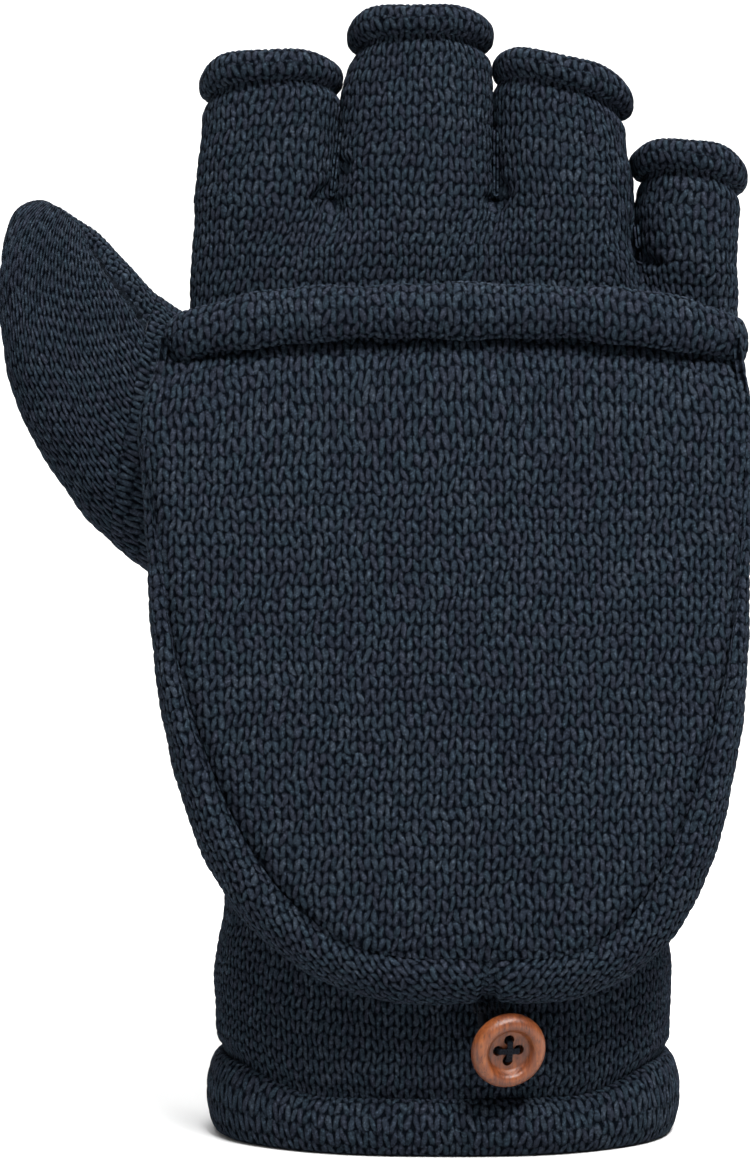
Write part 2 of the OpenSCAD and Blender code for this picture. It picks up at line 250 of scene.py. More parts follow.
def uneven(points):
    """Slow rise and fall of worn cloth, in mm, the same for pieces that meet."""
    x, y, z = points[..., 0], points[..., 1], points[..., 2]
    return (
        0.28 * np.sin(0.105 * x + 0.062 * z + 0.8) * np.sin(0.083 * z - 0.041 * x + 0.05 * y)
        + 0.18 * np.sin(0.21 * x - 0.17 * z + 2.1) * np.sin(0.19 * z + 0.11 * y)
        + 0.10 * np.sin(0.47 * x + 0.31 * z) * np.sin(0.43 * z - 0.29 * x + 1.4)
    )


def wander(u, v):
    """Small drift of the stitches, so that rows and columns aren't ruled."""
    du = 0.11 * np.sin(0.61 * v + 1.7 * np.sin(0.37 * u)) + 0.07 * np.sin(1.31 * v + 0.9 * u)
    dv = 0.13 * np.sin(0.53 * u + 1.9 * np.sin(0.29 * v)) + 0.08 * np.sin(1.73 * u - 0.6 * v)
    du = du + 0.05 * np.sin(2.9 * v + 1.3 * np.sin(1.7 * u)) + 0.03 * np.sin(4.3 * u + 2.3 * v)
    dv = dv + 0.07 * np.sin(3.1 * u + 1.1 * np.sin(2.3 * v)) + 0.05 * np.sin(5.2 * u - 3.3 * v)
    return u + du, v + dv


LEG_SLANT = 0.20
LEG_HALF_W = 0.235
LEG_HALF_L = 0.62
LEG_BLUNT = 2.6


def stitch_height(u, v):
    """Height of stockinette, 0 in the gaps and 1 on the yarn. Each wale is a column of Vs."""
    across = np.abs(u - np.floor(u) - 0.5)
    best = np.zeros_like(u)
    for k in (-1, 0, 1):
        along = v - np.floor(v) - 0.5 + k
        off = (across - 0.25 - LEG_SLANT * along) / LEG_HALF_W
        level = np.sqrt(np.clip(1 - off ** 2 - np.abs(along / LEG_HALF_L) ** LEG_BLUNT, 0, None))
        best = np.maximum(best, level)
    return best


def grid_normals(grid, wrap_u=False, wrap_v=False, out=None):
    """Unit normals of a grid, turned outwards: along out, or away from each ring's middle."""
    def slope(axis, wrap):
        if wrap:
            return np.roll(grid, -1, axis) - np.roll(grid, 1, axis)
        return np.gradient(grid, axis=axis)

    normal = np.cross(slope(1, wrap_u), slope(0, wrap_v))
    normal /= np.maximum(np.linalg.norm(normal, axis=2, keepdims=True), 1e-9)
    away = grid - grid.mean(axis=1, keepdims=True) if out is None else np.array(out, float)
    sign = 1 if np.sum(normal * away) > 0 else -1
    return normal * sign, sign


def mesh_object(name, points, faces, uv_points, uv_faces, weld=False):
    """A smooth mesh from arrays of faces, each array with its own number of corners."""
    corners = np.concatenate([np.asarray(f).ravel() for f in faces])
    uv_corners = np.concatenate([np.asarray(f).ravel() for f in uv_faces])
    sizes = np.concatenate([np.full(len(f), len(f[0])) for f in faces])
    starts = np.concatenate([[0], np.cumsum(sizes)[:-1]])
    mesh = bpy.data.meshes.new(name)
    mesh.vertices.add(len(points))
    mesh.vertices.foreach_set("co", (points * MM).astype(np.float32).ravel())
    mesh.loops.add(len(corners))
    mesh.loops.foreach_set("vertex_index", corners.astype(np.int32))
    mesh.polygons.add(len(starts))
    mesh.polygons.foreach_set("loop_start", starts.astype(np.int32))
    mesh.update(calc_edges=True)
    layer = mesh.uv_layers.new(name="knit")
    layer.data.foreach_set("uv", uv_points[uv_corners].astype(np.float32).ravel())
    mesh.polygons.foreach_set("use_smooth", np.ones(len(starts), dtype=bool))
    if weld:
        edit = bmesh.new()
        edit.from_mesh(mesh)
        bmesh.ops.remove_doubles(edit, verts=edit.verts, dist=2e-6)
        edit.to_mesh(mesh)
        edit.free()
    mesh.validate()
    mesh.update()
    mesh.set_sharp_from_angle(angle=math.radians(75))
    obj = bpy.data.objects.new(name, mesh)
    bpy.context.scene.collection.objects.link(obj)
    return obj


def quads(ids):
    """Four-sided faces between the points of a grid."""
    corner = [ids[:-1, :-1], ids[:-1, 1:], ids[1:, 1:], ids[1:, :-1]]
    return np.stack([c.ravel() for c in corner], axis=1)


def pick(count, step, wrap):
    """Every step-th index, with the last one unless the grid closes on itself."""
    if wrap:
        return list(range(0, count, step))
    return list(range(0, count - 1, step)) + [count - 1]


def shell(name, base, normal, sign, lift, thick, u, v, wrap=False, weld=False, step=6):
    """Closed cloth: a fine outer face that carries the relief and a coarser inner face."""
    rows, cols = base.shape[:2]
    outer = base + normal * lift[..., None]
    row_at = pick(rows, step, False)
    col_at = pick(cols, step, wrap)
    inner = (base - normal * thick)[np.ix_(row_at, col_at)]
    extra = 1 if wrap else 0
    outer_id = np.arange(rows * cols).reshape(rows, cols)
    inner_id = rows * cols + np.arange(len(row_at) * len(col_at)).reshape(len(row_at), len(col_at))
    uv_outer = np.stack([u, v], axis=2)
    uv_cols = col_at + [cols] if wrap else col_at
    uv_inner = uv_outer[np.ix_(row_at, uv_cols)]
    outer_uv_id = np.arange(rows * (cols + extra)).reshape(rows, cols + extra)
    inner_uv_id = outer_uv_id.size + np.arange(len(row_at) * len(uv_cols))
    inner_uv_id = inner_uv_id.reshape(len(row_at), len(uv_cols))
    if wrap:
        outer_id = np.concatenate([outer_id, outer_id[:, :1]], axis=1)
        inner_id = np.concatenate([inner_id, inner_id[:, :1]], axis=1)
        col_at = col_at + [cols]
    faces, uv_faces = [], []

    def add(ids, uv_ids, turned):
        order = slice(None, None, -1 if turned != (sign < 0) else 1)
        faces.append(ids[:, order])
        uv_faces.append(uv_ids[:, order])

    add(quads(outer_id), quads(outer_uv_id), False)
    add(quads(inner_id), quads(inner_uv_id), True)

    def rim(outer_line, inner_line, outer_uv_line, inner_uv_line, at, turned):
        for k in range(len(at) - 1):
            span = slice(at[k], at[k + 1] + 1)
            ids = np.concatenate([inner_line[k:k + 2], outer_line[span][::-1]])[None]
            uv_ids = np.concatenate([inner_uv_line[k:k + 2], outer_uv_line[span][::-1]])[None]
            add(ids, uv_ids, turned)

    rim(outer_id[0], inner_id[0], outer_uv_id[0], inner_uv_id[0], col_at, False)
    rim(outer_id[-1], inner_id[-1], outer_uv_id[-1], inner_uv_id[-1], col_at, True)
    if not wrap:
        rim(outer_id[:, -1], inner_id[:, -1], outer_uv_id[:, -1], inner_uv_id[:, -1], row_at, False)
        rim(outer_id[:, 0], inner_id[:, 0], outer_uv_id[:, 0], inner_uv_id[:, 0], row_at, True)
    points = np.concatenate([outer.reshape(-1, 3), inner.reshape(-1, 3)])
    uv_points = np.concatenate([uv_outer.reshape(-1, 2), uv_inner.reshape(-1, 2)])
    return mesh_object(name, points, faces, uv_points, uv_faces, weld)


def roll(name, rings, lift, u, v, normal, sign, closed):
    """A solid roll of cloth: rings of points along it, closed on itself or with two ends."""
    rows, cols = rings.shape[:2]
    points = (rings + normal * lift[..., None]).reshape(-1, 3)
    ids = np.arange(rows * cols).reshape(rows, cols)
    ids = np.concatenate([ids, ids[:, :1]], axis=1)
    if closed:
        ids = np.concatenate([ids, ids[:1]], axis=0)
    uv_points = np.stack([u, v], axis=2)
    uv_ids = np.arange(uv_points.shape[0] * uv_points.shape[1]).reshape(uv_points.shape[:2])
    faces, uv_faces = [], []
    order = slice(None, None, 1 if sign > 0 else -1)
    for source, target in ((ids, faces), (uv_ids, uv_faces)):
        target.append(quads(source)[:, order])
        if not closed:
            target.append(source[0, :-1][::-1][None][:, order])
            target.append(source[-1, :-1][None][:, order])
    return mesh_object(name, points, faces, uv_points.reshape(-1, 2), uv_faces)


def tube(name, path, radius, sides=10, closed=False):
    """A round strand along a path of points."""
    path = np.array(path, float)
    if closed:
        ahead = np.roll(path, -1, axis=0) - np.roll(path, 1, axis=0)
    else:
        ahead = np.gradient(path, axis=0)
    ahead /= np.linalg.norm(ahead, axis=1, keepdims=True)
    side = np.cross(ahead[0], [0.31, 0.52, 0.79])
    rings = []
    for k in range(len(path)):
        side = side - ahead[k] * np.dot(side, ahead[k])
        side = side / np.linalg.norm(side)
        up = np.cross(ahead[k], side)
        turn = np.linspace(0, 2 * np.pi, sides, endpoint=False)[:, None]
        size = radius[k] if np.ndim(radius) else radius
        rings.append(path[k] + size * (np.cos(turn) * side + np.sin(turn) * up))
    rings = np.array(rings)
    normal, sign = grid_normals(rings, wrap_u=True, wrap_v=closed)
    u, v = np.meshgrid(np.linspace(0, 1, sides + 1), np.arange(len(path) + closed, dtype=float))
    return roll(name, rings, np.zeros(rings.shape[:2]), u, v, normal, sign, closed)


def rounded_path(points, count):
    """A smooth curve through the points, cut evenly."""
    points = np.array(points, float)
    padded = np.concatenate([[2 * points[0] - points[1]], points, [2 * points[-1] - points[-2]]])
    curve = []
    for k in range(1, len(padded) - 2):
        a, b, c, d = padded[k - 1:k + 3]
        for s in np.linspace(0, 1, 12, endpoint=False):
            curve.append(spline(a, b, c, d, s))
    curve.append(points[-1])
    curve = np.array(curve)
    run = run_length(*curve.T)
    at = np.linspace(0, run[-1], count)
    return np.stack([np.interp(at, run, curve[:, k]) for k in range(curve.shape[1])], axis=1)


# ---------------------------------------------------------------- materials

class Graph:
    """Short words for building a material's nodes."""

    def __init__(self, name):
        self.material = bpy.data.materials.new(name)
        self.material.use_nodes = True
        self.nodes = self.material.node_tree.nodes
        self.links = self.material.node_tree.links
        self.shader = self.nodes["Principled BSDF"]

    def put(self, socket, value):
        if isinstance(value, bpy.types.NodeSocket):
            self.links.new(value, socket)
        else:
            socket.default_value = value

    def math(self, operation, *values):
        node = self.nodes.new("ShaderNodeMath")
        node.operation = operation
        for k, value in enumerate(values):
            self.put(node.inputs[k], value)
        return node.outputs[0]

    def vector(self, x, y, z=0.0):
        node = self.nodes.new("ShaderNodeCombineXYZ")
        for k, value in enumerate((x, y, z)):
            self.put(node.inputs[k], value)
        return node.outputs[0]

    def split(self, vector):
        node = self.nodes.new("ShaderNodeSeparateXYZ")
        self.put(node.inputs[0], vector)
        return node.outputs

    def uv(self):
        node = self.nodes.new("ShaderNodeUVMap")
        node.uv_map = "knit"
        return node.outputs[0]

    def place(self):
        return self.nodes.new("ShaderNodeTexCoord").outputs["Object"]

    def noise(self, vector, scale, detail=2.0, rough=0.5):
        node = self.nodes.new("ShaderNodeTexNoise")
        self.put(node.inputs["Vector"], vector)
        node.inputs["Scale"].default_value = scale
        node.inputs["Detail"].default_value = detail
        node.inputs["Roughness"].default_value = rough
        return node.outputs["Fac"]

    def white(self, vector):
        node = self.nodes.new("ShaderNodeTexWhiteNoise")
        self.put(node.inputs["Vector"], vector)
        return node.outputs["Value"]

    def ramp(self, value, *stops):
        node = self.nodes.new("ShaderNodeValToRGB")
        self.put(node.inputs["Fac"], value)
        ramp = node.color_ramp
        while len(ramp.elements) < len(stops):
            ramp.elements.new(0.5)
        for element, (at, colour) in zip(ramp.elements, stops):
            element.position = at
            element.color = (*colour, 1)
        return node.outputs["Color"]

    def vector_math(self, operation, vector, other):
        node = self.nodes.new("ShaderNodeVectorMath")
        node.operation = operation
        self.put(node.inputs[0], vector)
        self.put(node.inputs["Scale" if operation == "SCALE" else 1], other)
        return node.outputs[0]

    def finish(self, colour, roughness, height, distance, **levels):
        """Sets the shader: colour, roughness, bumps of a height and plain levels by name."""
        bump = self.nodes.new("ShaderNodeBump")
        bump.inputs["Distance"].default_value = distance
        bump.inputs["Strength"].default_value = 1.0
        self.put(bump.inputs["Height"], height)
        self.put(self.shader.inputs["Normal"], bump.outputs[0])
        self.put(self.shader.inputs["Base Color"], colour)
        self.put(self.shader.inputs["Roughness"], roughness)
        for name, level in levels.items():
            self.shader.inputs[name.replace("_", " ")].default_value = level
        return self.material


NAVY = (0.0211, 0.0287, 0.0408)
SLATE = (0.0297, 0.0384, 0.0515)
TEAL = (0.0195, 0.0297, 0.0402)
PLUM = (0.0233, 0.0277, 0.0395)
DARK = (0.0118, 0.0168, 0.0254)
# Bluish floor added to all of the knit's colour, the tint of the painted shade in its gaps
GAP_SHADE_TINT = (0.0001, 0.0007, 0.0020)


def knit_material():
    """Stockinette in heather yarn: tinted V legs, gaps turned near-black by painted shade, painted
    fuzz glints.
    """
    g = Graph("heather_knit")
    place = g.place()
    u, v, _ = g.split(g.uv())
    drift = g.noise(place, 330.0, 1.0)
    u = g.math("MULTIPLY_ADD", g.math("SUBTRACT", drift, 0.5), 0.16, u)
    across = g.math("ABSOLUTE", g.math("SUBTRACT", g.math("FRACT", u), 0.5))
    phase = g.math("SUBTRACT", g.math("FRACT", v), 0.5)
    leg = g.math("FLOOR", g.math("MULTIPLY", u, 2.0))
    course = g.math("FLOOR", v)
    best, tint, streak_x, streak_y = 0.0, 0.5, 0.0, 0.0
    for k in (-1.0, 0.0, 1.0):
        along = g.math("ADD", phase, k)
        off = g.math("SUBTRACT", across, g.math("MULTIPLY_ADD", along, LEG_SLANT, 0.25))
        wide = g.math("POWER", g.math("MULTIPLY", off, 1 / LEG_HALF_W), 2.0)
        long = g.math("ABSOLUTE", g.math("MULTIPLY", along, 1 / LEG_HALF_L))
        long = g.math("POWER", long, LEG_BLUNT)
        room = g.math("MAXIMUM", g.math("SUBTRACT", 1.0, g.math("ADD", wide, long)), 0.0)
        level = g.math("SQRT", room)
        wins = g.math("GREATER_THAN", level, best)
        own = g.white(g.vector(leg, g.math("SUBTRACT", course, k)))
        tint = g.math("MULTIPLY_ADD", g.math("SUBTRACT", own, tint), wins, tint)
        streak_x = g.math("MULTIPLY_ADD", g.math("SUBTRACT", off, streak_x), wins, streak_x)
        streak_y = g.math("MULTIPLY_ADD", g.math("SUBTRACT", along, streak_y), wins, streak_y)
        best = g.math("MAXIMUM", level, best)
    twist = g.math("MULTIPLY_ADD", streak_y, 0.12, streak_x)
    strand = g.vector(
        g.math("MULTIPLY", twist, 34.0),
        g.math("MULTIPLY", streak_y, 4.0),
        g.math("MULTIPLY", tint, 60.0),
    )
    fibre = g.noise(strand, 1.0, 3.0, 0.6)
    patch = g.noise(place, 60.0, 2.0)
    shade = g.math("ADD", g.math("MULTIPLY", tint, 0.46), g.math("MULTIPLY", patch, 0.54))
    colour = g.ramp(
        shade, (0.12, DARK), (0.32, PLUM), (0.46, NAVY), (0.6, TEAL), (0.74, SLATE), (0.9, PLUM)
    )
    # Painted shade between the legs: the colour falls towards black in the gaps, less where noise
    # lets loose fibres cover them
    loose = g.noise(place, 1300.0, 3.0, 0.7)
    covered = g.math("ADD", best, g.math("MULTIPLY_ADD", loose, 1.8, -0.9))
    gap_shade = g.math("MAXIMUM", g.math("MULTIPLY_ADD", covered, 1.3, -0.36), 0.04)
    gap_shade = g.math("SMOOTH_MIN", gap_shade, 1.0, 0.3)
    fine = g.math("MULTIPLY_ADD", fibre, 1.3, 0.35)
    # Painted glints: bright specks on the legs where fine fuzz would catch the light
    fuzz = g.noise(place, 2000.0, 3.0, 0.75)
    fuzz_glint = g.math("MULTIPLY_ADD", g.math("MAXIMUM", g.math("SUBTRACT", fuzz, 0.5), 0.0), 7.0, 0.72)
    # Colour scaled by the painted gap shade, the fibres and the painted glints, over the bluish
    # floor of the painted shade
    shade = g.math("MULTIPLY", gap_shade, g.math("MULTIPLY", fine, fuzz_glint))
    colour = g.vector_math("ADD", g.vector_math("SCALE", colour, shade), GAP_SHADE_TINT)
    height = g.math("MULTIPLY_ADD", fibre, 0.45, best)
    height = g.math("MULTIPLY_ADD", fuzz, 0.25, height)
    return g.finish(colour, 0.92, height, 0.0004, Specular_IOR_Level=0.03)


def fleece_material():
    """Brushed lining: short tangled pile, no stitches."""
    g = Graph("brushed_fleece")
    place = g.place()
    pile = g.noise(place, 900.0, 4.0, 0.7)
    tuft = g.noise(place, 220.0, 2.0)
    shade = g.math("ADD", g.math("MULTIPLY", pile, 0.6), g.math("MULTIPLY", tuft, 0.4))
    colour = g.ramp(shade, (0.3, (0.010, 0.013, 0.02)), (0.7, (0.04, 0.048, 0.064)))
    return g.finish(colour, 0.97, shade, 0.0006, Sheen_Weight=0.25, Sheen_Roughness=0.6)


def wood_material():
    """Turned wood with fine grain across the button, darker pores and a satin finish."""
    g = Graph("turned_wood")
    place = g.place()
    slow = g.noise(g.vector_math("MULTIPLY", place, (260.0, 260.0, 45.0)), 1.0, 2.0)
    grain = g.noise(g.vector_math("MULTIPLY", place, (1900.0, 1900.0, 140.0)), 1.0, 4.0, 0.65)
    pores = g.noise(g.vector_math("MULTIPLY", place, (4200.0, 4200.0, 420.0)), 1.0, 1.0)
    shade = g.math("ADD", g.math("MULTIPLY", slow, 0.45), g.math("MULTIPLY", grain, 0.55))
    colour = g.ramp(
        shade,
        (0.32, (0.040, 0.009, 0.003)),
        (0.46, (0.110, 0.026, 0.006)),
        (0.58, (0.185, 0.050, 0.011)),
        (0.72, (0.270, 0.084, 0.022)),
    )
    dark = g.math("LESS_THAN", pores, 0.36)
    colour = g.vector_math("SCALE", colour, g.math("MULTIPLY_ADD", dark, -0.45, 1.0))
    roughness = g.math("MULTIPLY_ADD", grain, 0.2, 0.33)
    height = g.math("MULTIPLY_ADD", dark, -0.6, grain)
    return g.finish(colour, roughness, height, 0.00012, Specular_IOR_Level=0.5)


def thread_material(name, turns, lean):
    """Twisted or braided thread: diagonal plies along a strand's own UV, with painted shade in the
    grooves between them.
    """
    g = Graph(name)
    u, v, _ = g.split(g.uv())
    ply = g.math("MULTIPLY_ADD", u, turns, g.math("MULTIPLY", v, lean))
    ridge = g.math("ABSOLUTE", g.math("SUBTRACT", g.math("FRACT", ply), 0.5))
    back = g.math("MULTIPLY_ADD", u, turns, g.math("MULTIPLY", v, -lean))
    other = g.math("ABSOLUTE", g.math("SUBTRACT", g.math("FRACT", back), 0.5))
    height = g.math("MULTIPLY", ridge, other) if name == "braided_elastic" else ridge
    tone = g.noise(g.place(), 2500.0, 2.0)
    # Painted shade: the colour follows the plies' height and is darker in the grooves between them,
    # with some random tone
    shade = g.math("ADD", g.math("MULTIPLY", height, 0.9), g.math("MULTIPLY", tone, 0.4))
    colour = g.ramp(shade, (0.15, (0.001, 0.002, 0.004)), (0.75, (0.007, 0.009, 0.014)))
    return g.finish(colour, 0.85, height, 0.0003, Specular_IOR_Level=0.12)


MATERIALS = {
    "knit": knit_material(),
    "fleece": fleece_material(),
    "wood": wood_material(),
    "thread": thread_material("sewing_thread", 2.0, 0.35),
    "elastic": thread_material("braided_elastic", 3.0, 0.5),
}
hand_pieces = []


def wear(obj, slot):
    obj.data.materials.clear()
    obj.data.materials.append(MATERIALS[slot])


def dress(obj, slot, node):
    """Gives a piece its material and hides the CAD node it stands for."""
    wear(obj, slot)
    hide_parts(node)


def settle(obj, slot, body, node):
    """Dresses a piece that rides on one body."""
    dress(obj, slot, node)
    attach(obj, body)
    if body == "hand":
        hand_pieces.append(obj)


def crotch_creases(base):
    """Depth of the hooked creases that run down the hand's front from each crotch."""
    x, y, z = base[..., 0], base[..., 1], base[..., 2]
    depth = np.zeros(x.shape)
    for line in CREASES:
        nearest = np.full(x.shape, 99.0)
        for (x0, z0), (x1, z1) in zip(line[:-1], line[1:]):
            s = ((x - x0) * (x1 - x0) + (z - z0) * (z1 - z0)) / ((x1 - x0) ** 2 + (z1 - z0) ** 2)
            s = np.clip(s, 0, 1)
            nearest = np.minimum(nearest, np.hypot(x - mix(x0, x1, s), z - mix(z0, z1, s)))
        depth = depth + groove(nearest, CROTCH_CREASE)
    return depth * ease((STALL_Y - y - 3) / 4)


def knit_lift(base, u, v, relief=RELIEF):
    """Height of knitted cloth over its own surface: stitches, wear and creases."""
    return relief * (stitch_height(u, v) - 0.5) + uneven(base) - crotch_creases(base)


def stitch_grid(rows, cols, row_step, col_step):
    """Counts across (u) and along (v) a grid, with so many points to each."""
    v, u = np.meshgrid(np.arange(rows) / row_step, np.arange(cols) / col_step, indexing="ij")
    return u, v


def lining(node, grid, body, out=None):
    """Fleece in the shape of a grid, closed round it unless it says which way is out."""
    rows, cols = grid.shape[:2]
    wrap = out is None
    normal, sign = grid_normals(grid, wrap_u=wrap, out=out)
    u, v = stitch_grid(rows, cols + wrap, 2, 2)
    flat = np.zeros((rows, cols))
    obj = shell(node + "_fleece", grid, normal, sign, flat, FLEECE_T, u, v, wrap=wrap, step=2)
    settle(obj, "fleece", body, node)


def round_section(courses):
    """Turns round a hem's roll, HEM_STEP to each course, as a row."""
    return np.linspace(0, 360, courses * HEM_STEP, endpoint=False)[None, :]


def rolled_hem(node, rings, relief, closed=True):
    """A roll of knit: wales follow one another along it and courses go round it."""
    rows, cols = rings.shape[:2]
    v, u = stitch_grid(rows + closed, cols + 1, HAND_STEP, HEM_STEP)
    u, v = wander(u, v)
    normal, sign = grid_normals(rings, wrap_u=True, wrap_v=closed)
    lift = relief * (stitch_height(u, v)[:rows, :cols] - 0.5)
    # Cloth that rests on the ground is flat
    lift = np.where(rings[..., 2] < 0.6, 0, lift)
    return roll(node + "_knit", rings, lift, u, v, normal, sign, closed)


# ---------------------------------------------------------------- hand and fingers

def smooth_rows(table, at, spread=8.0):
    """A table's columns at the given heights, with its corners rounded off."""
    offsets = np.linspace(-spread, spread, 9)
    weights = np.cos(offsets / spread * np.pi / 2.3)
    total = 0
    for offset, weight in zip(offsets, weights):
        rows = [np.interp(at + offset, table[:, 0], table[:, k]) for k in range(1, table.shape[1])]
        total = total + weight * np.stack(rows)
    return total / weights.sum()


def web_line(x):
    return HAND_TOP - 13 * ease((x - 30.5) / 9)


def hem_rise(turn):
    return HEM_RISE * ease((np.abs(cos_deg(turn)) - 0.5) / 0.5)


def thumb_slot(z):
    """Half height of the thumb hole, in degrees round the hand's oval."""
    middle, half, widest = SLOT
    return widest * np.sqrt(np.clip(1 - ((z - middle) / half) ** 2, 0, None))


def stall_sides(k, s):
    """How much wider than its CAD tube a stall's left and right side are at s."""
    return [reach * (1 - ease((s - end) / 0.25)) for reach, end in STALL_TOUCHES[k]]


def stall_oval(k, s, turn, inset=0.0):
    """Point round a finger stall, at s from its foot 0 to its hem 1."""
    foot_x, hem_x, foot_a, hem_a, hem_z, tilt = FINGERS[k]
    left, right = stall_sides(k, s)
    half = mix(foot_a, hem_a, ease(s)) + (left + right) / 2 - inset
    shift = (right - left) / 2
    depth = STALL_HALF_D - 0.4 * s - inset
    x, y = oval(turn, half, depth, mix(STALL_SQUARE, HEM_SQUARE, s))
    return mix(foot_x, hem_x, s) + shift + x, STALL_Y + y


def cut_turns(k, start, stop):
    """Turns that cut part of a stall's foot into whole wales, HAND_STEP to each."""
    fine = np.linspace(start, stop, 400)
    x, y = stall_oval(k, 0.0, fine)
    wales = max(1, round(run_length(x, y)[-1] / WALE))
    return equal_turns(fine, x, y, wales * HAND_STEP)


def face_turns(k, front):
    """Turns of the part of a stall's foot that continues the hand's front or rear half."""
    left = 0 if k == 0 else SIDE_TURN
    right = 0 if k == 3 else SIDE_TURN
    if front:
        return cut_turns(k, 180 + left, 360 - right)
    return cut_turns(k, right, 180 - left)


def web_row(front):
    """The hand's top edge: along each finger's foot, and across the crotch to the next."""
    line = []
    for k in (range(4) if front else range(3, -1, -1)):
        part = np.stack(stall_oval(k, 0.0, face_turns(k, front)), axis=1)
        if line:
            s = np.linspace(0, 1, HAND_STEP + 1)[:, None]
            link = mix(line[-1][-1], part[0], s)
            link[:, 1] += (1 if front else -1) * 1.1 * np.sin(np.pi * s[:, 0])
            line.append(link[1:-1])
        line.append(part)
    return np.concatenate(line)


def hand_half(front, inset=0.0, coarse=False):
    """Grid of the front or rear half of the hand's tube, from the cuff's hem to the web."""
    web = web_row(front)
    if coarse:
        web = web[::3]
    count = len(web) - 1
    rows = HAND_COURSES * (2 if coarse else ROW_STEP) + 1
    heights = np.linspace(HAND_FOOT, HAND_TOP, rows)
    left, right, back, palm, square = smooth_rows(HAND, heights)
    grid = np.zeros((rows, count + 1, 3))
    for i, z in enumerate(heights):
        fine = np.linspace(180, 360, 300) if front else np.linspace(0, 180, 300)
        a, b = (right[i] - left[i]) / 2 - inset, (palm[i] - back[i]) / 2 - inset
        x, y = oval(fine, a, b, square[i])
        turns = equal_turns(fine, x, y, count)
        push = thumb_slot(z) * np.clip(1 - np.abs(turns - 180) / 70, 0, 1) ** 2
        turns = turns + (push if front else -push)
        x, y = oval(turns, a, b, square[i])
        x, y = (left[i] + right[i]) / 2 + x, (back[i] + palm[i]) / 2 + y
        pinch = 0.30 * ease((z - 152) / 32) + 0.70 * ease((z - 173) / 11)
        middle = np.array([(left[i] + right[i]) / 2, STALL_Y])
        target = web + (middle - web) * np.array([inset / 40, inset / 4])
        x, y = mix(x, target[:, 0], pinch), mix(y, target[:, 1], pinch)
        up = z + hem_rise(turns) * (1 - ease((z - HAND_FOOT) / 35))
        squeeze = (web_line(x) - 60) / (HAND_TOP - 60)
        up = np.where(z > 60, 60 + (up - 60) * squeeze, up)
        grid[i] = np.stack([x, y, up], axis=1)
    return grid


def side_seams(count):
    """Depth of the grooves at the first and last of a row of points."""
    at = np.arange(count) * POINT_GAP
    return groove(at, SIDE_SEAM) + groove(at[-1] - at, SIDE_SEAM)


BACK_WALES = (len(web_row(True)) - 1) // HAND_STEP
for front, side in ((True, "back"), (False, "palm")):
    facing = (0, -1 if front else 1, 0)
    grid = hand_half(front)
    rows, cols = grid.shape[:2]
    u, v = stitch_grid(rows, cols, ROW_STEP, HAND_STEP)
    u, v = wander(u + (0 if front else BACK_WALES), v)
    normal, sign = grid_normals(grid, out=facing)
    above_hem = np.linspace(0, HAND_TOP - HAND_FOOT, rows)[:, None]
    lift = knit_lift(grid, u, v) - side_seams(cols) - groove(above_hem, CUFF_NECK)
    obj = shell(side + "_panel_knit", grid, normal, sign, lift, KNIT_T, u, v)
    settle(obj, "knit", "hand", side + "_panel")
    lining(side + "_lining", hand_half(front, KNIT_T + 2 * GAP, coarse=True), "hand", facing)


def hem_sag(turn):
    """How much lower a finger's hem is at its two sides than at its front and rear."""
    return 1.4 * np.abs(cos_deg(turn)) ** 3


def tilt_rise(k, x):
    """How much higher a finger's tilted hem is at x than at its middle."""
    _, hem_x, _, _, _, tilt = FINGERS[k]
    return math.tan(math.radians(tilt)) * (x - hem_x)


def face_wales(k, front):
    return (len(face_turns(k, front)) - 1) // HAND_STEP


def stall_turns(k):
    """Turns all round a stall in whole wales, from the left of its front face, and for each
    the number of wales it's away from the hand's column below it."""
    front, rear = face_turns(k, True), face_turns(k, False) + 360
    parts = [front]
    if k != 3:
        parts.append(cut_turns(k, 360 - SIDE_TURN, 360 + SIDE_TURN)[1:])
    before_rear = sum(len(part) for part in parts)
    parts.append(rear[1:])
    if k != 0:
        parts.append(cut_turns(k, 540 - SIDE_TURN, 540 + SIDE_TURN)[1:])
    turns = np.concatenate(parts)
    first_front = sum(face_wales(j, True) + 1 for j in range(k))
    first_rear = BACK_WALES + sum(face_wales(j, False) + 1 for j in range(3, k, -1))
    shift = np.full(len(turns), float(first_front))
    shift[before_rear:] = first_rear - (before_rear - 1) / HAND_STEP
    return turns[:-1], shift


def stall_grid(k, turns, rows, inset=0.0):
    hem_z = FINGERS[k][4]
    grid = []
    for s in np.linspace(0, 1, rows):
        x, y = stall_oval(k, s, turns, inset)
        z = mix(web_line(x), hem_z + 1.0 + tilt_rise(k, x), s)
        grid.append(np.stack([x, y, z], axis=1))
    return np.array(grid)


def stall(k, finger):
    """Knit tube of one finger, its wales and courses counted on from the hand's."""
    foot_x, hem_z = FINGERS[k][0], FINGERS[k][4]
    turns, shift = stall_turns(k)
    courses = max(4, round((hem_z - web_line(foot_x)) / COURSE))
    grid = stall_grid(k, turns, courses * ROW_STEP + 1)
    rows, cols = grid.shape[:2]
    u, v = stitch_grid(rows, cols + 1, ROW_STEP, HAND_STEP)
    u, v = wander(u + shift, v + HAND_COURSES)
    u = u - shift + shift[0]
    normal, sign = grid_normals(grid, wrap_u=True)
    below_hem = hem_z - hem_sag(turns) + tilt_rise(k, grid[..., 0]) - grid[..., 2]
    lift = knit_lift(grid, u[:, :-1], v[:, :-1]) - groove(below_hem, FINGER_NECK)
    return shell(finger + "_stall_knit", grid, normal, sign, lift, KNIT_T, u, v, wrap=True)


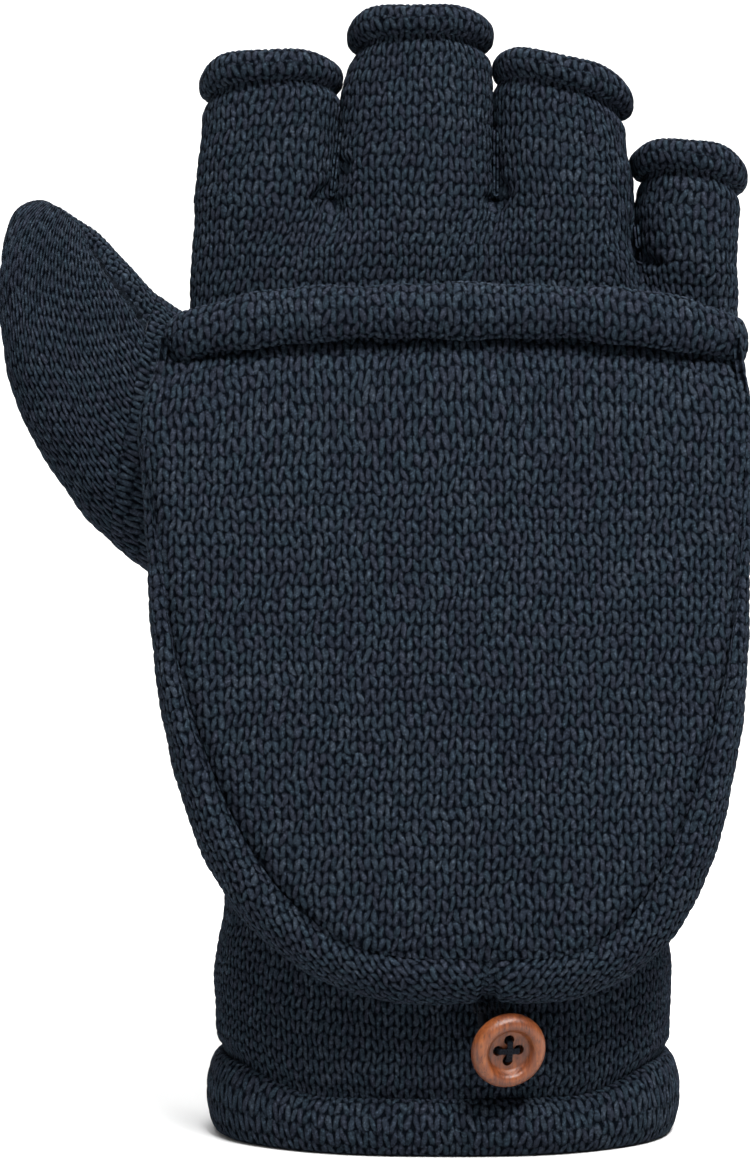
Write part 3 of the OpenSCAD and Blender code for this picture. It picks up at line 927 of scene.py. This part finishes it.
def finger_hem(k):
    """Rings round a finger's rolled hem, set out along the stall's mouth."""
    _, hem_x, _, hem_a, hem_z, _ = FINGERS[k]
    around = wale_turns(hem_a, HEM_HALF_D, HEM_SQUARE, 500)
    section = round_section(7)
    wave = 1 + 0.05 * sin_deg(2 * around + 70 * k) + 0.03 * sin_deg(5 * around + 40)
    fat = 1 + 0.10 * sin_deg(3 * around + 50 * k) + 0.06 * sin_deg(7 * around)
    grow = 2.0 * fat * cos_deg(section) - 0.7
    x, y = oval(around, hem_a + grow, HEM_HALF_D + grow, HEM_SQUARE)
    z = hem_z - hem_sag(around) + HEM_HALF_H * wave * (1 + sin_deg(section))
    return np.stack([hem_x + x, STALL_Y + y, z + tilt_rise(k, hem_x + x)], axis=2)


for k, finger in enumerate(FINGER_NAMES):
    settle(stall(k, finger), "knit", "hand", finger + "_stall")
    turns = np.linspace(0, 360, 48, endpoint=False)
    lining(finger + "_lining", stall_grid(k, turns, 12, KNIT_T + GAP), "hand")
    hem = finger + "_hem"
    settle(rolled_hem(hem, finger_hem(k), 0.8 * RELIEF), "knit", "hand", hem)


def web_gusset(name, web_x, web_z, height, lean):
    """Fourchette: a strip folded into a U between two fingers."""
    bend = np.linspace(-90, 90, 13)
    leg = np.linspace(height, 0.4, 20)
    flat = np.ones(20)
    fold_x = WEB_HALF_W * np.concatenate([-flat, sin_deg(bend), flat])
    fold_z = np.concatenate([leg, -WEB_HALF_W * cos_deg(bend), leg[::-1]])
    deep = np.linspace(-WEB_HALF_D, WEB_HALF_D, 40)
    grid = np.zeros((len(deep), len(fold_x), 3))
    grid[..., 0] = web_x + fold_x + math.tan(math.radians(lean)) * fold_z
    grid[..., 1] = STALL_Y + deep[:, None]
    grid[..., 2] = web_z + WEB_HALF_W + fold_z
    u, v = np.meshgrid(deep / WALE, run_length(fold_x, fold_z) / COURSE, indexing="ij")
    normal, sign = grid_normals(grid, out=(0, 0, -1))
    return shell(name + "_knit", grid, normal, sign, np.zeros(u.shape), WEB_T, u, v, step=3)


for web in WEBS:
    settle(web_gusset(*web), "knit", "hand", web[0])


def cuff_hem():
    """Rings round the cuff's rolled hem, its foot pressed flat."""
    around = wale_turns(CUFF_HALF_W, CUFF_HALF_D, CUFF_SQUARE, 900)
    section = round_section(11)
    fat = 1 + 0.06 * sin_deg(4 * around + 30) + 0.05 * sin_deg(9 * around + 10)
    grow = 3.2 * fat * cos_deg(section) - 1
    x, y = oval(around, CUFF_HALF_W + grow, CUFF_HALF_D + grow, CUFF_SQUARE)
    top = HEM_H + hem_rise(around)
    z = top / 2 * (1 + sin_deg(section) / sin_deg(72))
    return np.stack([x, y, np.clip(z, 0.25, top + 0.2)], axis=2)


settle(rolled_hem("cuff_hem", cuff_hem(), 0.8 * RELIEF), "knit", "hand", "cuff_hem")


# ---------------------------------------------------------------- thumb

def thumb_ring(r):
    """Ring at a place along the thumb, 0 at the hand and 7 at the tip, eased through the table."""
    k = int(min(max(math.floor(r), 0), len(THUMB) - 2))
    s = r - k
    a = THUMB[max(k - 1, 0)]
    b, c = THUMB[k], THUMB[k + 1]
    d = THUMB[min(k + 2, len(THUMB) - 1)]
    return spline(a, b, c, d, s)


def thumb_grid(first, last, start, stop, rows, cols, inset=0.0, wrap=False):
    """Grid of part of the thumb's tube, with equal lengths round each ring."""
    fine_r = np.linspace(first, last, 200)
    middles = np.array([(ring[:2] + ring[2:4]) / 2 for ring in map(thumb_ring, fine_r)])
    run = run_length(*middles.T)
    fine = np.linspace(start, stop, 300)
    grid, arcs = [], []
    for r in np.interp(np.linspace(0, run[-1], rows), run, fine_r):
        ring = thumb_ring(r)
        middle, half = (ring[:2] + ring[2:4]) / 2, (ring[2:4] - ring[:2]) / 2
        reach = np.linalg.norm(half)
        rounded = max(0.0, (r - THUMB_ROUND_FROM) / THUMB_ROUND_LONG)
        shrink = max(math.sqrt(max(0.0, 1 - rounded ** 2)), 0.02)
        a, b = [max(0.05, size - inset) * shrink for size in (reach, ring[4])]
        turns = equal_turns(fine, *oval(fine, a, b, THUMB_SQUARE), cols - 1 + wrap)
        if wrap:
            turns = turns[:-1]
        x, y = oval(turns, a, b, THUMB_SQUARE)
        saddle = 5 * np.abs(sin_deg(turns)) ** 3 * max(0.0, 1 - r)
        along_x, along_z = half / reach
        grid.append(np.stack([
            middle[0] + along_x * x + saddle,
            THUMB_Y + y,
            middle[1] + along_z * x,
        ], axis=1))
        arcs.append(run_length(x, y))
    return np.array(grid), np.array(arcs), run[-1]


def thumb_panel(name, front):
    """Back or palm half of the thumb, with the crease along its inner side."""
    start, stop = (180.4, 359.6) if front else (0.4, 179.6)
    grid, arcs, length = thumb_grid(1, 7, start, stop, THUMB_ROWS, THUMB_COLS)
    whole = arcs[:, -1:]
    outer, inner = (arcs, whole - arcs) if front else (whole - arcs, arcs)
    up = np.linspace(0, 1, THUMB_ROWS)[:, None]
    fold = 11.0 - 9.0 * up
    u = np.where(inner < fold, 40 - inner / THUMB_WALE, outer / THUMB_WALE + 0.5)
    v = np.repeat(up * length / THUMB_COURSE, THUMB_COLS, axis=1)
    u, v = wander(u, v)
    crease = groove(inner - fold, THUMB_CREASE) * (1 - ease((up - 0.45) / 0.25))
    normal, sign = grid_normals(grid, out=(0, -1 if front else 1, 0))
    # Near the tip the relief fades and the cloth gets thinner
    fade = np.clip(whole / 12, 0.1, 1) * (1 - 0.7 * ease((up - 0.86) / 0.06))
    seam = groove(np.minimum(outer, inner), THUMB_SEAM)
    lift = (knit_lift(grid, u, v) - seam) * fade - crease
    thick = np.minimum(KNIT_T, 0.05 * whole)[..., None]
    return shell(name + "_knit", grid, normal, sign, lift, thick, u, v)


def thumb_root():
    """Knit ring that stretches between the hand's thumb hole and the thumb."""
    rows, cols = 36, 380
    grid, arcs, length = thumb_grid(0, 1, 0, 360, rows, cols, wrap=True)
    whole = np.concatenate([arcs, 2 * arcs[:, -1:] - arcs[:, -2:-1]], axis=1)
    u = np.minimum(whole, whole[:, -1:] - whole) / WALE + 0.5
    v = np.repeat(np.linspace(-length / COURSE, 0, rows)[:, None], cols + 1, axis=1)
    u, v = wander(u, v)
    normal, sign = grid_normals(grid, wrap_u=True)
    lift = knit_lift(grid, u[:, :-1], v[:, :-1])
    return shell("thumb_gusset_knit", grid, normal, sign, lift, KNIT_T, u, v, wrap=True)


settle(thumb_panel("thumb_back_panel", True), "knit", "thumb", "thumb_back_panel")
settle(thumb_panel("thumb_palm_panel", False), "knit", "thumb", "thumb_palm_panel")
obj = thumb_root()
dress(obj, "knit", "thumb_gusset")
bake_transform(obj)
grid, _, _ = thumb_grid(1, 5, 0, 360, 40, 60, inset=KNIT_T + GAP, wrap=True)
lining("thumb_lining", grid, "thumb")


# ---------------------------------------------------------------- cap

def cap_point(x, u, v):
    """Point of the cap: u runs down from its seam and v away from the hand."""
    x, u, v = np.broadcast_arrays(x, u, v)
    return np.stack([
        x,
        -SEAM_Y - u * math.sin(CAP_LEAN) - v * math.cos(CAP_LEAN),
        SEAM_Z - u * math.cos(CAP_LEAN) + v * math.sin(CAP_LEAN),
    ], axis=-1)


def cap_side(right, u):
    if right:
        return 58.5 - 0.02 * u - 2.4 * ease((14 - u) / 18)
    return -59.2 + 0.06 * u + 4.5 * ease((14 - u) / 18)


def band_inset(u):
    return 1 + (BAND_W - 1) * ease((u - 10) / 100)


def band_height(u):
    return EDGE_T - 1.5 * ease((u - 70) / 50) - 1.5 * ease((20 - u) / 20)


def cap_outline(right, top=0.0, spacing=0.33):
    """Evenly spaced points (x, u) down one side of the cap to its tip, and inward normals."""
    turns = np.concatenate([np.linspace(0, 80, 200), 90 - 10 * np.linspace(1, 0, 200)[1:] ** 2.2])
    angle = np.radians(turns)
    u = ROUND_FROM + (CAP_LENGTH - ROUND_FROM) * np.sin(angle) ** (2 / 3)
    x = TIP_X + (cap_side(right, u) - TIP_X) * np.abs(np.cos(angle)) ** (2 / 3)
    straight = np.linspace(top, ROUND_FROM, 60)[:-1]
    x, u = np.concatenate([cap_side(right, straight), x]), np.concatenate([straight, u])
    run = run_length(x, u)
    at = np.linspace(0, run[-1], round(run[-1] / spacing) + 1)
    line = np.stack([np.interp(at, run, x), np.interp(at, run, u)], axis=1)
    tangent = np.gradient(line, axis=0)
    tangent /= np.linalg.norm(tangent, axis=1, keepdims=True)
    inward = (1 if right else -1) * np.stack([-tangent[:, 1], tangent[:, 0]], axis=1)
    return line, tangent, inward, at


def inset_side(line, inward, inset):
    """The outline moved inwards, as x and u, without the points where u stops growing."""
    side = line + inward * inset
    keep = np.concatenate([[True], np.diff(np.maximum.accumulate(side[:, 1])) > 1e-6])
    return side[keep, 0], side[keep, 1]


def seam_side(right, extra):
    """Where the front panel ends on one side, and extra further in."""
    line, _, inward, _ = cap_outline(right, top=-16.0)
    return inset_side(line, inward, (band_inset(line[:, 1]) + extra)[:, None])


def outline_side(right, extra):
    line, _, inward, _ = cap_outline(right, top=-2.0)
    return inset_side(line, inward, extra)


def side_at(side, u):
    return np.interp(u, side[1], side[0])


FRONT_LEFT, FRONT_RIGHT = seam_side(False, -0.4), seam_side(True, -0.4)


def mouth_arch(off_middle):
    return 5 * off_middle ** 3


def seam_depth(to_tip):
    """Depth of the fold along the cap's seam, shallower where it crosses the tip."""
    return 3.0 - 1.9 * np.exp(-(to_tip / 5.0) ** 2)


def front_surface(x, u):
    """The cap's front: a dome off the hand that falls to the band's seam and the mouth."""
    left, right = side_at(FRONT_LEFT, u), side_at(FRONT_RIGHT, u)
    off_middle = np.abs(2 * np.clip((x - left) / np.maximum(right - left, 1e-3), 0, 1) - 1)
    to_tip = FRONT_LEFT[1][-1] - u
    near_tip = np.clip((u - 55) / (FRONT_LEFT[1][-1] - 55), 0, 1)
    fall = off_middle ** 2.6 * (1 - near_tip ** 6) + near_tip ** 4.5
    crown = DOME_T - 3.0 * ease((u - 60) / 60) - 1.5 * ease((25 - u) / 25)
    to_seam = np.minimum(np.maximum(np.minimum(x - left, right - x), 0), np.maximum(to_tip, 0))
    seam = groove(to_seam, (seam_depth(to_tip), 2.2)) * ease((u - 4) / 20)
    depth = mix(band_height(u), crown, np.clip(1 - fall, 0, 1)) - seam - groove(u, MOUTH_TUCK)
    down = u + (MOUTH_U - 2.6 + mouth_arch(off_middle)) * (1 - ease(u / 24))
    return cap_point(x, down, depth)


def back_surface(v):
    def surface(x, u):
        return cap_point(x, u, np.full_like(x, v))
    return surface


def trimmed(name, side, extra, surface, thick, out, per, first_u, relief=0.0, drop=0.0, step=6):
    """Cloth cut to an outline: straight wales and courses, trimmed at its two sides."""
    left, right = side(False, extra), side(True, extra)
    per_wale, per_course = per
    tip = min(left[1][-1], right[1][-1])
    rows = int((tip - first_u) / COURSE * per_course) + 1
    us = np.append(first_u + np.arange(rows) * COURSE / per_course, tip)
    first = math.floor(left[0].min() / WALE * per_wale)
    last = math.ceil(right[0].max() / WALE * per_wale)
    xs = np.arange(first, last + 1) * WALE / per_wale
    u_grid = np.repeat(us[:, None], len(xs), axis=1)
    x_grid = np.clip(xs[None, :], side_at(left, us)[:, None], side_at(right, us)[:, None])
    e = 0.25
    across = surface(x_grid + e, u_grid) - surface(x_grid - e, u_grid)
    down = surface(x_grid, u_grid + e) - surface(x_grid, u_grid - e)
    normal = np.cross(across, down)
    normal /= np.maximum(np.linalg.norm(normal, axis=2, keepdims=True), 1e-9)
    sign = 1 if np.sum(normal * np.array(out, float)) > 0 else -1
    normal = normal * sign
    base = surface(x_grid, u_grid) - normal * drop
    u, v = wander(x_grid / WALE, u_grid / COURSE)
    lift = knit_lift(base, u, v, relief) if relief else np.zeros(u.shape)
    return shell(name, base, normal, sign, lift, thick, u, v, weld=True, step=step)


obj = trimmed(
    "cap_front_knit", seam_side, -0.4, front_surface, KNIT_T, (0, -1, 0), (8, 6), 0.0, relief=RELIEF
)
settle(obj, "knit", "cap_front", "cap_front_panel")
obj = trimmed(
    "cap_front_lining_fleece", seam_side, 1.2, front_surface, FLEECE_T, (0, -1, 0), (3, 3), 0.6,
    drop=KNIT_T + GAP + 0.3, step=2,
)
settle(obj, "fleece", "cap_front", "cap_front_lining")
obj = trimmed(
    "cap_back_knit", outline_side, 0.2, back_surface(-KNIT_T - GAP), KNIT_T - 0.1, (0, 1, 0), (6, 5),
    2.0, relief=0.8 * RELIEF,
)
settle(obj, "knit", "cap", "cap_back_panel")
obj = trimmed(
    "cap_back_lining_fleece", outline_side, 2.0, back_surface(GAP), FLEECE_T, (0, 1, 0), (3, 3), 2.6,
    step=2,
)
settle(obj, "fleece", "cap", "cap_back_lining")


def stretch_with_pocket(obj, node):
    """Dresses the piece and bakes its place into its mesh."""
    dress(obj, "knit", node)
    foot = Vector(cap_point(0.0, 60.0, 0.0)) * MM
    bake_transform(obj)


def band(name, right):
    """The cap's side band, rounded from its edge on the hand up to the front panel's seam."""
    line, tangent, inward, run = cap_outline(right, top=-4.0)
    at_u = line[:, 1:]
    turn = np.radians(np.linspace(0, 90, 44))[None, :]
    inset = band_inset(at_u) * (1 - np.cos(turn))
    raised = band_height(at_u) * np.sin(turn) ** 0.9
    grid = cap_point(line[:, :1] + inward[:, :1] * inset, at_u + inward[:, 1:] * inset, raised)
    steps = np.linalg.norm(np.diff(grid, axis=1), axis=2)
    from_edge = np.concatenate([np.zeros((len(line), 1)), np.cumsum(steps, axis=1)], axis=1)
    to_seam = from_edge[:, -1:] - from_edge
    side = 1 if right else -1
    # Wales run half along the band and half straight down, so they turn round the tip
    lead = 0.5 * (np.array([side, 0]) - inward)
    climb = 0.5 * (np.array([0, 1]) + tangent)
    scale = 1 / np.maximum(np.linalg.norm(lead, axis=1), 0.3)

    def lengths(way):
        """Lengths over the band along the way its wales or its courses go."""
        along = np.cumsum(np.sum(way * tangent, axis=1) * scale) * run[1]
        return along[:, None] - to_seam * (np.sum(way * inward, axis=1) * scale)[:, None]

    u, v = wander(lengths(lead) / WALE + 0.37, lengths(climb) / COURSE)
    normal, sign = grid_normals(grid, out=(side, -0.6, -0.4))
    dip = groove(to_seam, (seam_depth(CAP_LENGTH - at_u), 2.0)) * ease((at_u - 4) / 20)
    dip = dip + groove(from_edge, BAND_EDGE) + groove(run[-1] - run, BAND_TIP_SEAM)[:, None]
    return shell(name + "_knit", grid, normal, sign, knit_lift(grid, u, v) - dip, KNIT_T, u, v)


stretch_with_pocket(band("cap_band_left", False), "cap_band_left")
stretch_with_pocket(band("cap_band_right", True), "cap_band_right")


def mouth_line(turn):
    """The line the mouth's hem follows, as x and v."""
    x, v = oval(turn, MOUTH_X[1], MOUTH_V[1], MOUTH_SQUARE)
    return MOUTH_X[0] + x, MOUTH_V[0] + v


def mouth_hem():
    """Rings round the rolled hem of the cap's mouth."""
    fine = np.linspace(5, 175, 600)
    run = run_length(*mouth_line(fine))
    rows = round(run[-1] / WALE) * HAND_STEP + 1
    x, v = mouth_line(np.interp(np.linspace(0, run[-1], rows), run, fine)[:, None])
    off_middle = 2 * np.clip((x + 54.6) / 112.4, 0, 1) - 1
    far = np.abs(off_middle)
    section = round_section(11)
    size = (1 - 0.15 * far ** 8) * (1 + 0.05 * np.sin(0.19 * x + 1) + 0.04 * np.sin(0.47 * x))
    across = 3.7 * size * cos_deg(section)
    return cap_point(
        x + across * 0.7 * off_middle ** 5,
        MOUTH_U - 5.2 + mouth_arch(far) + 5.1 * size * sin_deg(section),
        v + across * (1 - 0.6 * far ** 5),
    )


obj = rolled_hem("cap_mouth_hem", mouth_hem(), 0.9 * RELIEF, closed=False)
stretch_with_pocket(obj, "cap_mouth_hem")


# ---------------------------------------------------------------- button and loop

wear(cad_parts["thread_shank"], "thread")
wear(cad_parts["cap_seam_piping"], "knit")

LOOP = [
    [6.4, -30.6, 28.2], [6.6, -30.1, 25], [7.2, -29.6, 22.4], [8.2, -29.3, 20.2],
    [9.6, -29.2, 18.9], [11.2, -29.2, 18.8], [12.7, -29.3, 19.9], [13.2, -29.5, 21.8],
    [12.6, -29.7, 24], [11.2, -30.0, 26], [9.8, -30.6, 28.2],
]
obj = tube("elastic_loop", rounded_path(LOOP, 90), 0.8, sides=16)
settle(obj, "elastic", "cap", "button_loop")

BUTTON_FOOT = np.array([10.8, -31.1, 21.7])


def turn_matrix(first, second, degrees):
    """Turn in the plane of two axes, from the first towards the second."""
    matrix = np.eye(3)
    matrix[first, first] = matrix[second, second] = cos_deg(degrees)
    matrix[second, first] = sin_deg(degrees)
    matrix[first, second] = -sin_deg(degrees)
    return matrix


# Tilted face of the button, the same turns as in the CAD
BUTTON_TURN = turn_matrix(0, 1, 16) @ turn_matrix(1, 2, 14)


def on_button(x, y, out):
    """Point on the button: x and y across its face, out from its rear face."""
    return BUTTON_FOOT + BUTTON_TURN @ np.array([x, -out, y], float)


# Turned button: radius and height of its profile, from the middle of its rear face
BUTTON = [
    [0.0, 0.0], [3.0, 0.0], [5.6, 0.05], [6.5, 0.35], [7.0, 0.95], [7.2, 1.7], [7.15, 2.4],
    [6.9, 3.1], [6.45, 3.65], [5.9, 3.93], [5.35, 3.97], [4.85, 3.75], [4.5, 3.35],
    [4.25, 2.8], [3.95, 2.3], [3.4, 2.05], [2.0, 1.95], [0.0, 1.9],
]
HOLE_OUT = 2.05
HOLE_R = 1.0


def turned_button():
    """The lathe shape with its four holes cut through."""
    profile = rounded_path([[r, 0.0, h] for r, h in BUTTON], 110)
    sides = 128
    points, faces = [], []
    for r, _, h in profile[1:-1]:
        for k in range(sides):
            angle = 2 * math.pi * k / sides
            points.append(on_button(r * math.cos(angle), r * math.sin(angle), h) * MM)
    for i in range(len(profile) - 3):
        for k in range(sides):
            a, b = i * sides + k, i * sides + (k + 1) % sides
            faces.append((a, b, b + sides, a + sides))
    for first, height, turned in ((0, 0.0, True), ((len(profile) - 3) * sides, 1.9, False)):
        points.append(on_button(0, 0, height) * MM)
        for k in range(sides):
            a, b = first + k, first + (k + 1) % sides
            faces.append((b, a, len(points) - 1) if turned else (a, b, len(points) - 1))
    mesh = bpy.data.meshes.new("turned_button")
    mesh.from_pydata([tuple(p) for p in points], [], faces)
    obj = bpy.data.objects.new("turned_button", mesh)
    bpy.context.scene.collection.objects.link(obj)
    for k in range(4):
        angle = math.pi / 2 * k
        x, y = HOLE_OUT * math.cos(angle), HOLE_OUT * math.sin(angle)
        drill = tube("drill", [on_button(x, y, -1), on_button(x, y, 5)], HOLE_R, sides=32)
        cut = obj.modifiers.new("hole", "BOOLEAN")
        cut.operation = "DIFFERENCE"
        cut.solver = "EXACT"
        cut.object = drill
        bpy.context.view_layer.objects.active = obj
        bpy.ops.object.modifier_apply(modifier=cut.name)
        bpy.data.objects.remove(drill, do_unlink=True)
    obj.data.polygons.foreach_set("use_smooth", [True] * len(obj.data.polygons))
    obj.data.set_sharp_from_angle(angle=math.radians(50))
    return obj


settle(turned_button(), "wood", "button", "button")


def join(objects, name):
    """Makes one object of several."""
    bpy.ops.object.select_all(action="DESELECT")
    for obj in objects:
        obj.select_set(True)
    bpy.context.view_layer.objects.active = objects[0]
    bpy.ops.object.join()
    objects[0].name = name
    return objects[0]


def thread_cross():
    """Two bundles of three strands that cross on the button's face and sink into its holes."""
    strands = []
    for turn in (0, 90):
        for shift in (-0.34, 0.0, 0.34):
            path = []
            for s in np.linspace(-1, 1, 25):
                reach = 2.0 * min(1.0, abs(s) / 0.8) * np.sign(s)
                sink = max(0.0, (abs(s) - 0.8) / 0.2)
                out = 2.4 + (0.45 if turn else 0.2) * math.cos(s * 1.6) - 2.1 * sink
                spread = shift * (1 - 0.5 * sink)
                a, b = (reach, spread) if turn == 0 else (spread, reach)
                path.append(on_button(a, b, out))
            strands.append(tube("strand", rounded_path(path, 40), 0.24, sides=8))
    return join(strands, "button_thread_cross")


def stay_stitches():
    """Seven stitches side by side that hold the loop's two ends."""
    stitches = []
    for x in 5.0 + 0.95 * np.arange(7):
        path = [
            [x, -31.0, 29.6], [x, -32.0, 29.2], [x, -32.2, 28.8], [x + 0.15, -31.9, 28.3],
            [x + 0.15, -31.0, 28.0],
        ]
        stitches.append(tube("stitch", rounded_path(path, 16), 0.26, sides=8))
    return join(stitches, "loop_stay_stitches")


settle(thread_cross(), "thread", "button", "button_thread")
settle(stay_stitches(), "thread", "cap", "loop_stay")

# Each piece on the hand gets a mesh of its own
for obj in hand_pieces:
    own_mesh(obj)


# ---------------------------------------------------------------- floor, lights, camera

def studio():
    """Pale floor that sweeps up behind the mitten, soft lights and the camera."""
    width, front, back, bend = 3.0, -2.5, 1.4, 0.6
    profile = [(front, 0.0), (back, 0.0)]
    for turn in np.linspace(0, 90, 13)[1:]:
        angle = math.radians(turn)
        profile.append((back + bend * math.sin(angle), bend * (1 - math.cos(angle))))
    profile.append((back + bend, 3.5))
    points, faces = [], []
    for y, z in profile:
        points += [(-width, y, z), (width, y, z)]
    for k in range(len(profile) - 1):
        faces.append((2 * k, 2 * k + 1, 2 * k + 3, 2 * k + 2))
    mesh = bpy.data.meshes.new("floor_sweep")
    mesh.from_pydata(points, [], faces)
    mesh.polygons.foreach_set("use_smooth", [True] * len(faces))
    floor = bpy.data.objects.new("floor_sweep", mesh)
    bpy.context.scene.collection.objects.link(floor)
    g = Graph("pale_floor")
    g.shader.inputs["Base Color"].default_value = (0.62, 0.62, 0.62, 1)
    g.shader.inputs["Roughness"].default_value = 0.9
    mesh.materials.append(g.material)

    world = bpy.data.worlds.new("studio")
    world.use_nodes = True
    world.node_tree.nodes["Background"].inputs["Color"].default_value = (1, 1, 1, 1)
    world.node_tree.nodes["Background"].inputs["Strength"].default_value = 0.115
    bpy.context.scene.world = world

    def light(name, place, aim, size, power):
        data = bpy.data.lights.new(name, "AREA")
        data.shape = "SQUARE"
        data.size = size
        data.energy = power
        obj = bpy.data.objects.new(name, data)
        obj.location = place
        obj.rotation_euler = (Vector(aim) - Vector(place)).to_track_quat("-Z", "Y").to_euler()
        bpy.context.scene.collection.objects.link(obj)

    light("key", (0.3, -0.78, 1.32), (0, 0, 0.12), 0.5, 53)
    light("fill", (-0.9, -0.9, 0.8), (0, 0, 0.1), 0.8, 3)
    light("back_wash", (0, 0.6, 1.9), (0, 1.7, 0.5), 1.6, 82)

    data = bpy.data.cameras.new("camera")
    data.sensor_width = 36
    data.lens = 36 * 500 / 232
    camera = bpy.data.objects.new("camera", data)
    camera.location = (-13.6 * MM, -500 * MM, 109.1 * MM)
    camera.rotation_euler = (math.pi / 2, 0, 0)
    bpy.context.scene.collection.objects.link(camera)
    bpy.context.scene.camera = camera
    bpy.context.scene.view_settings.view_transform = "Standard"


studio()
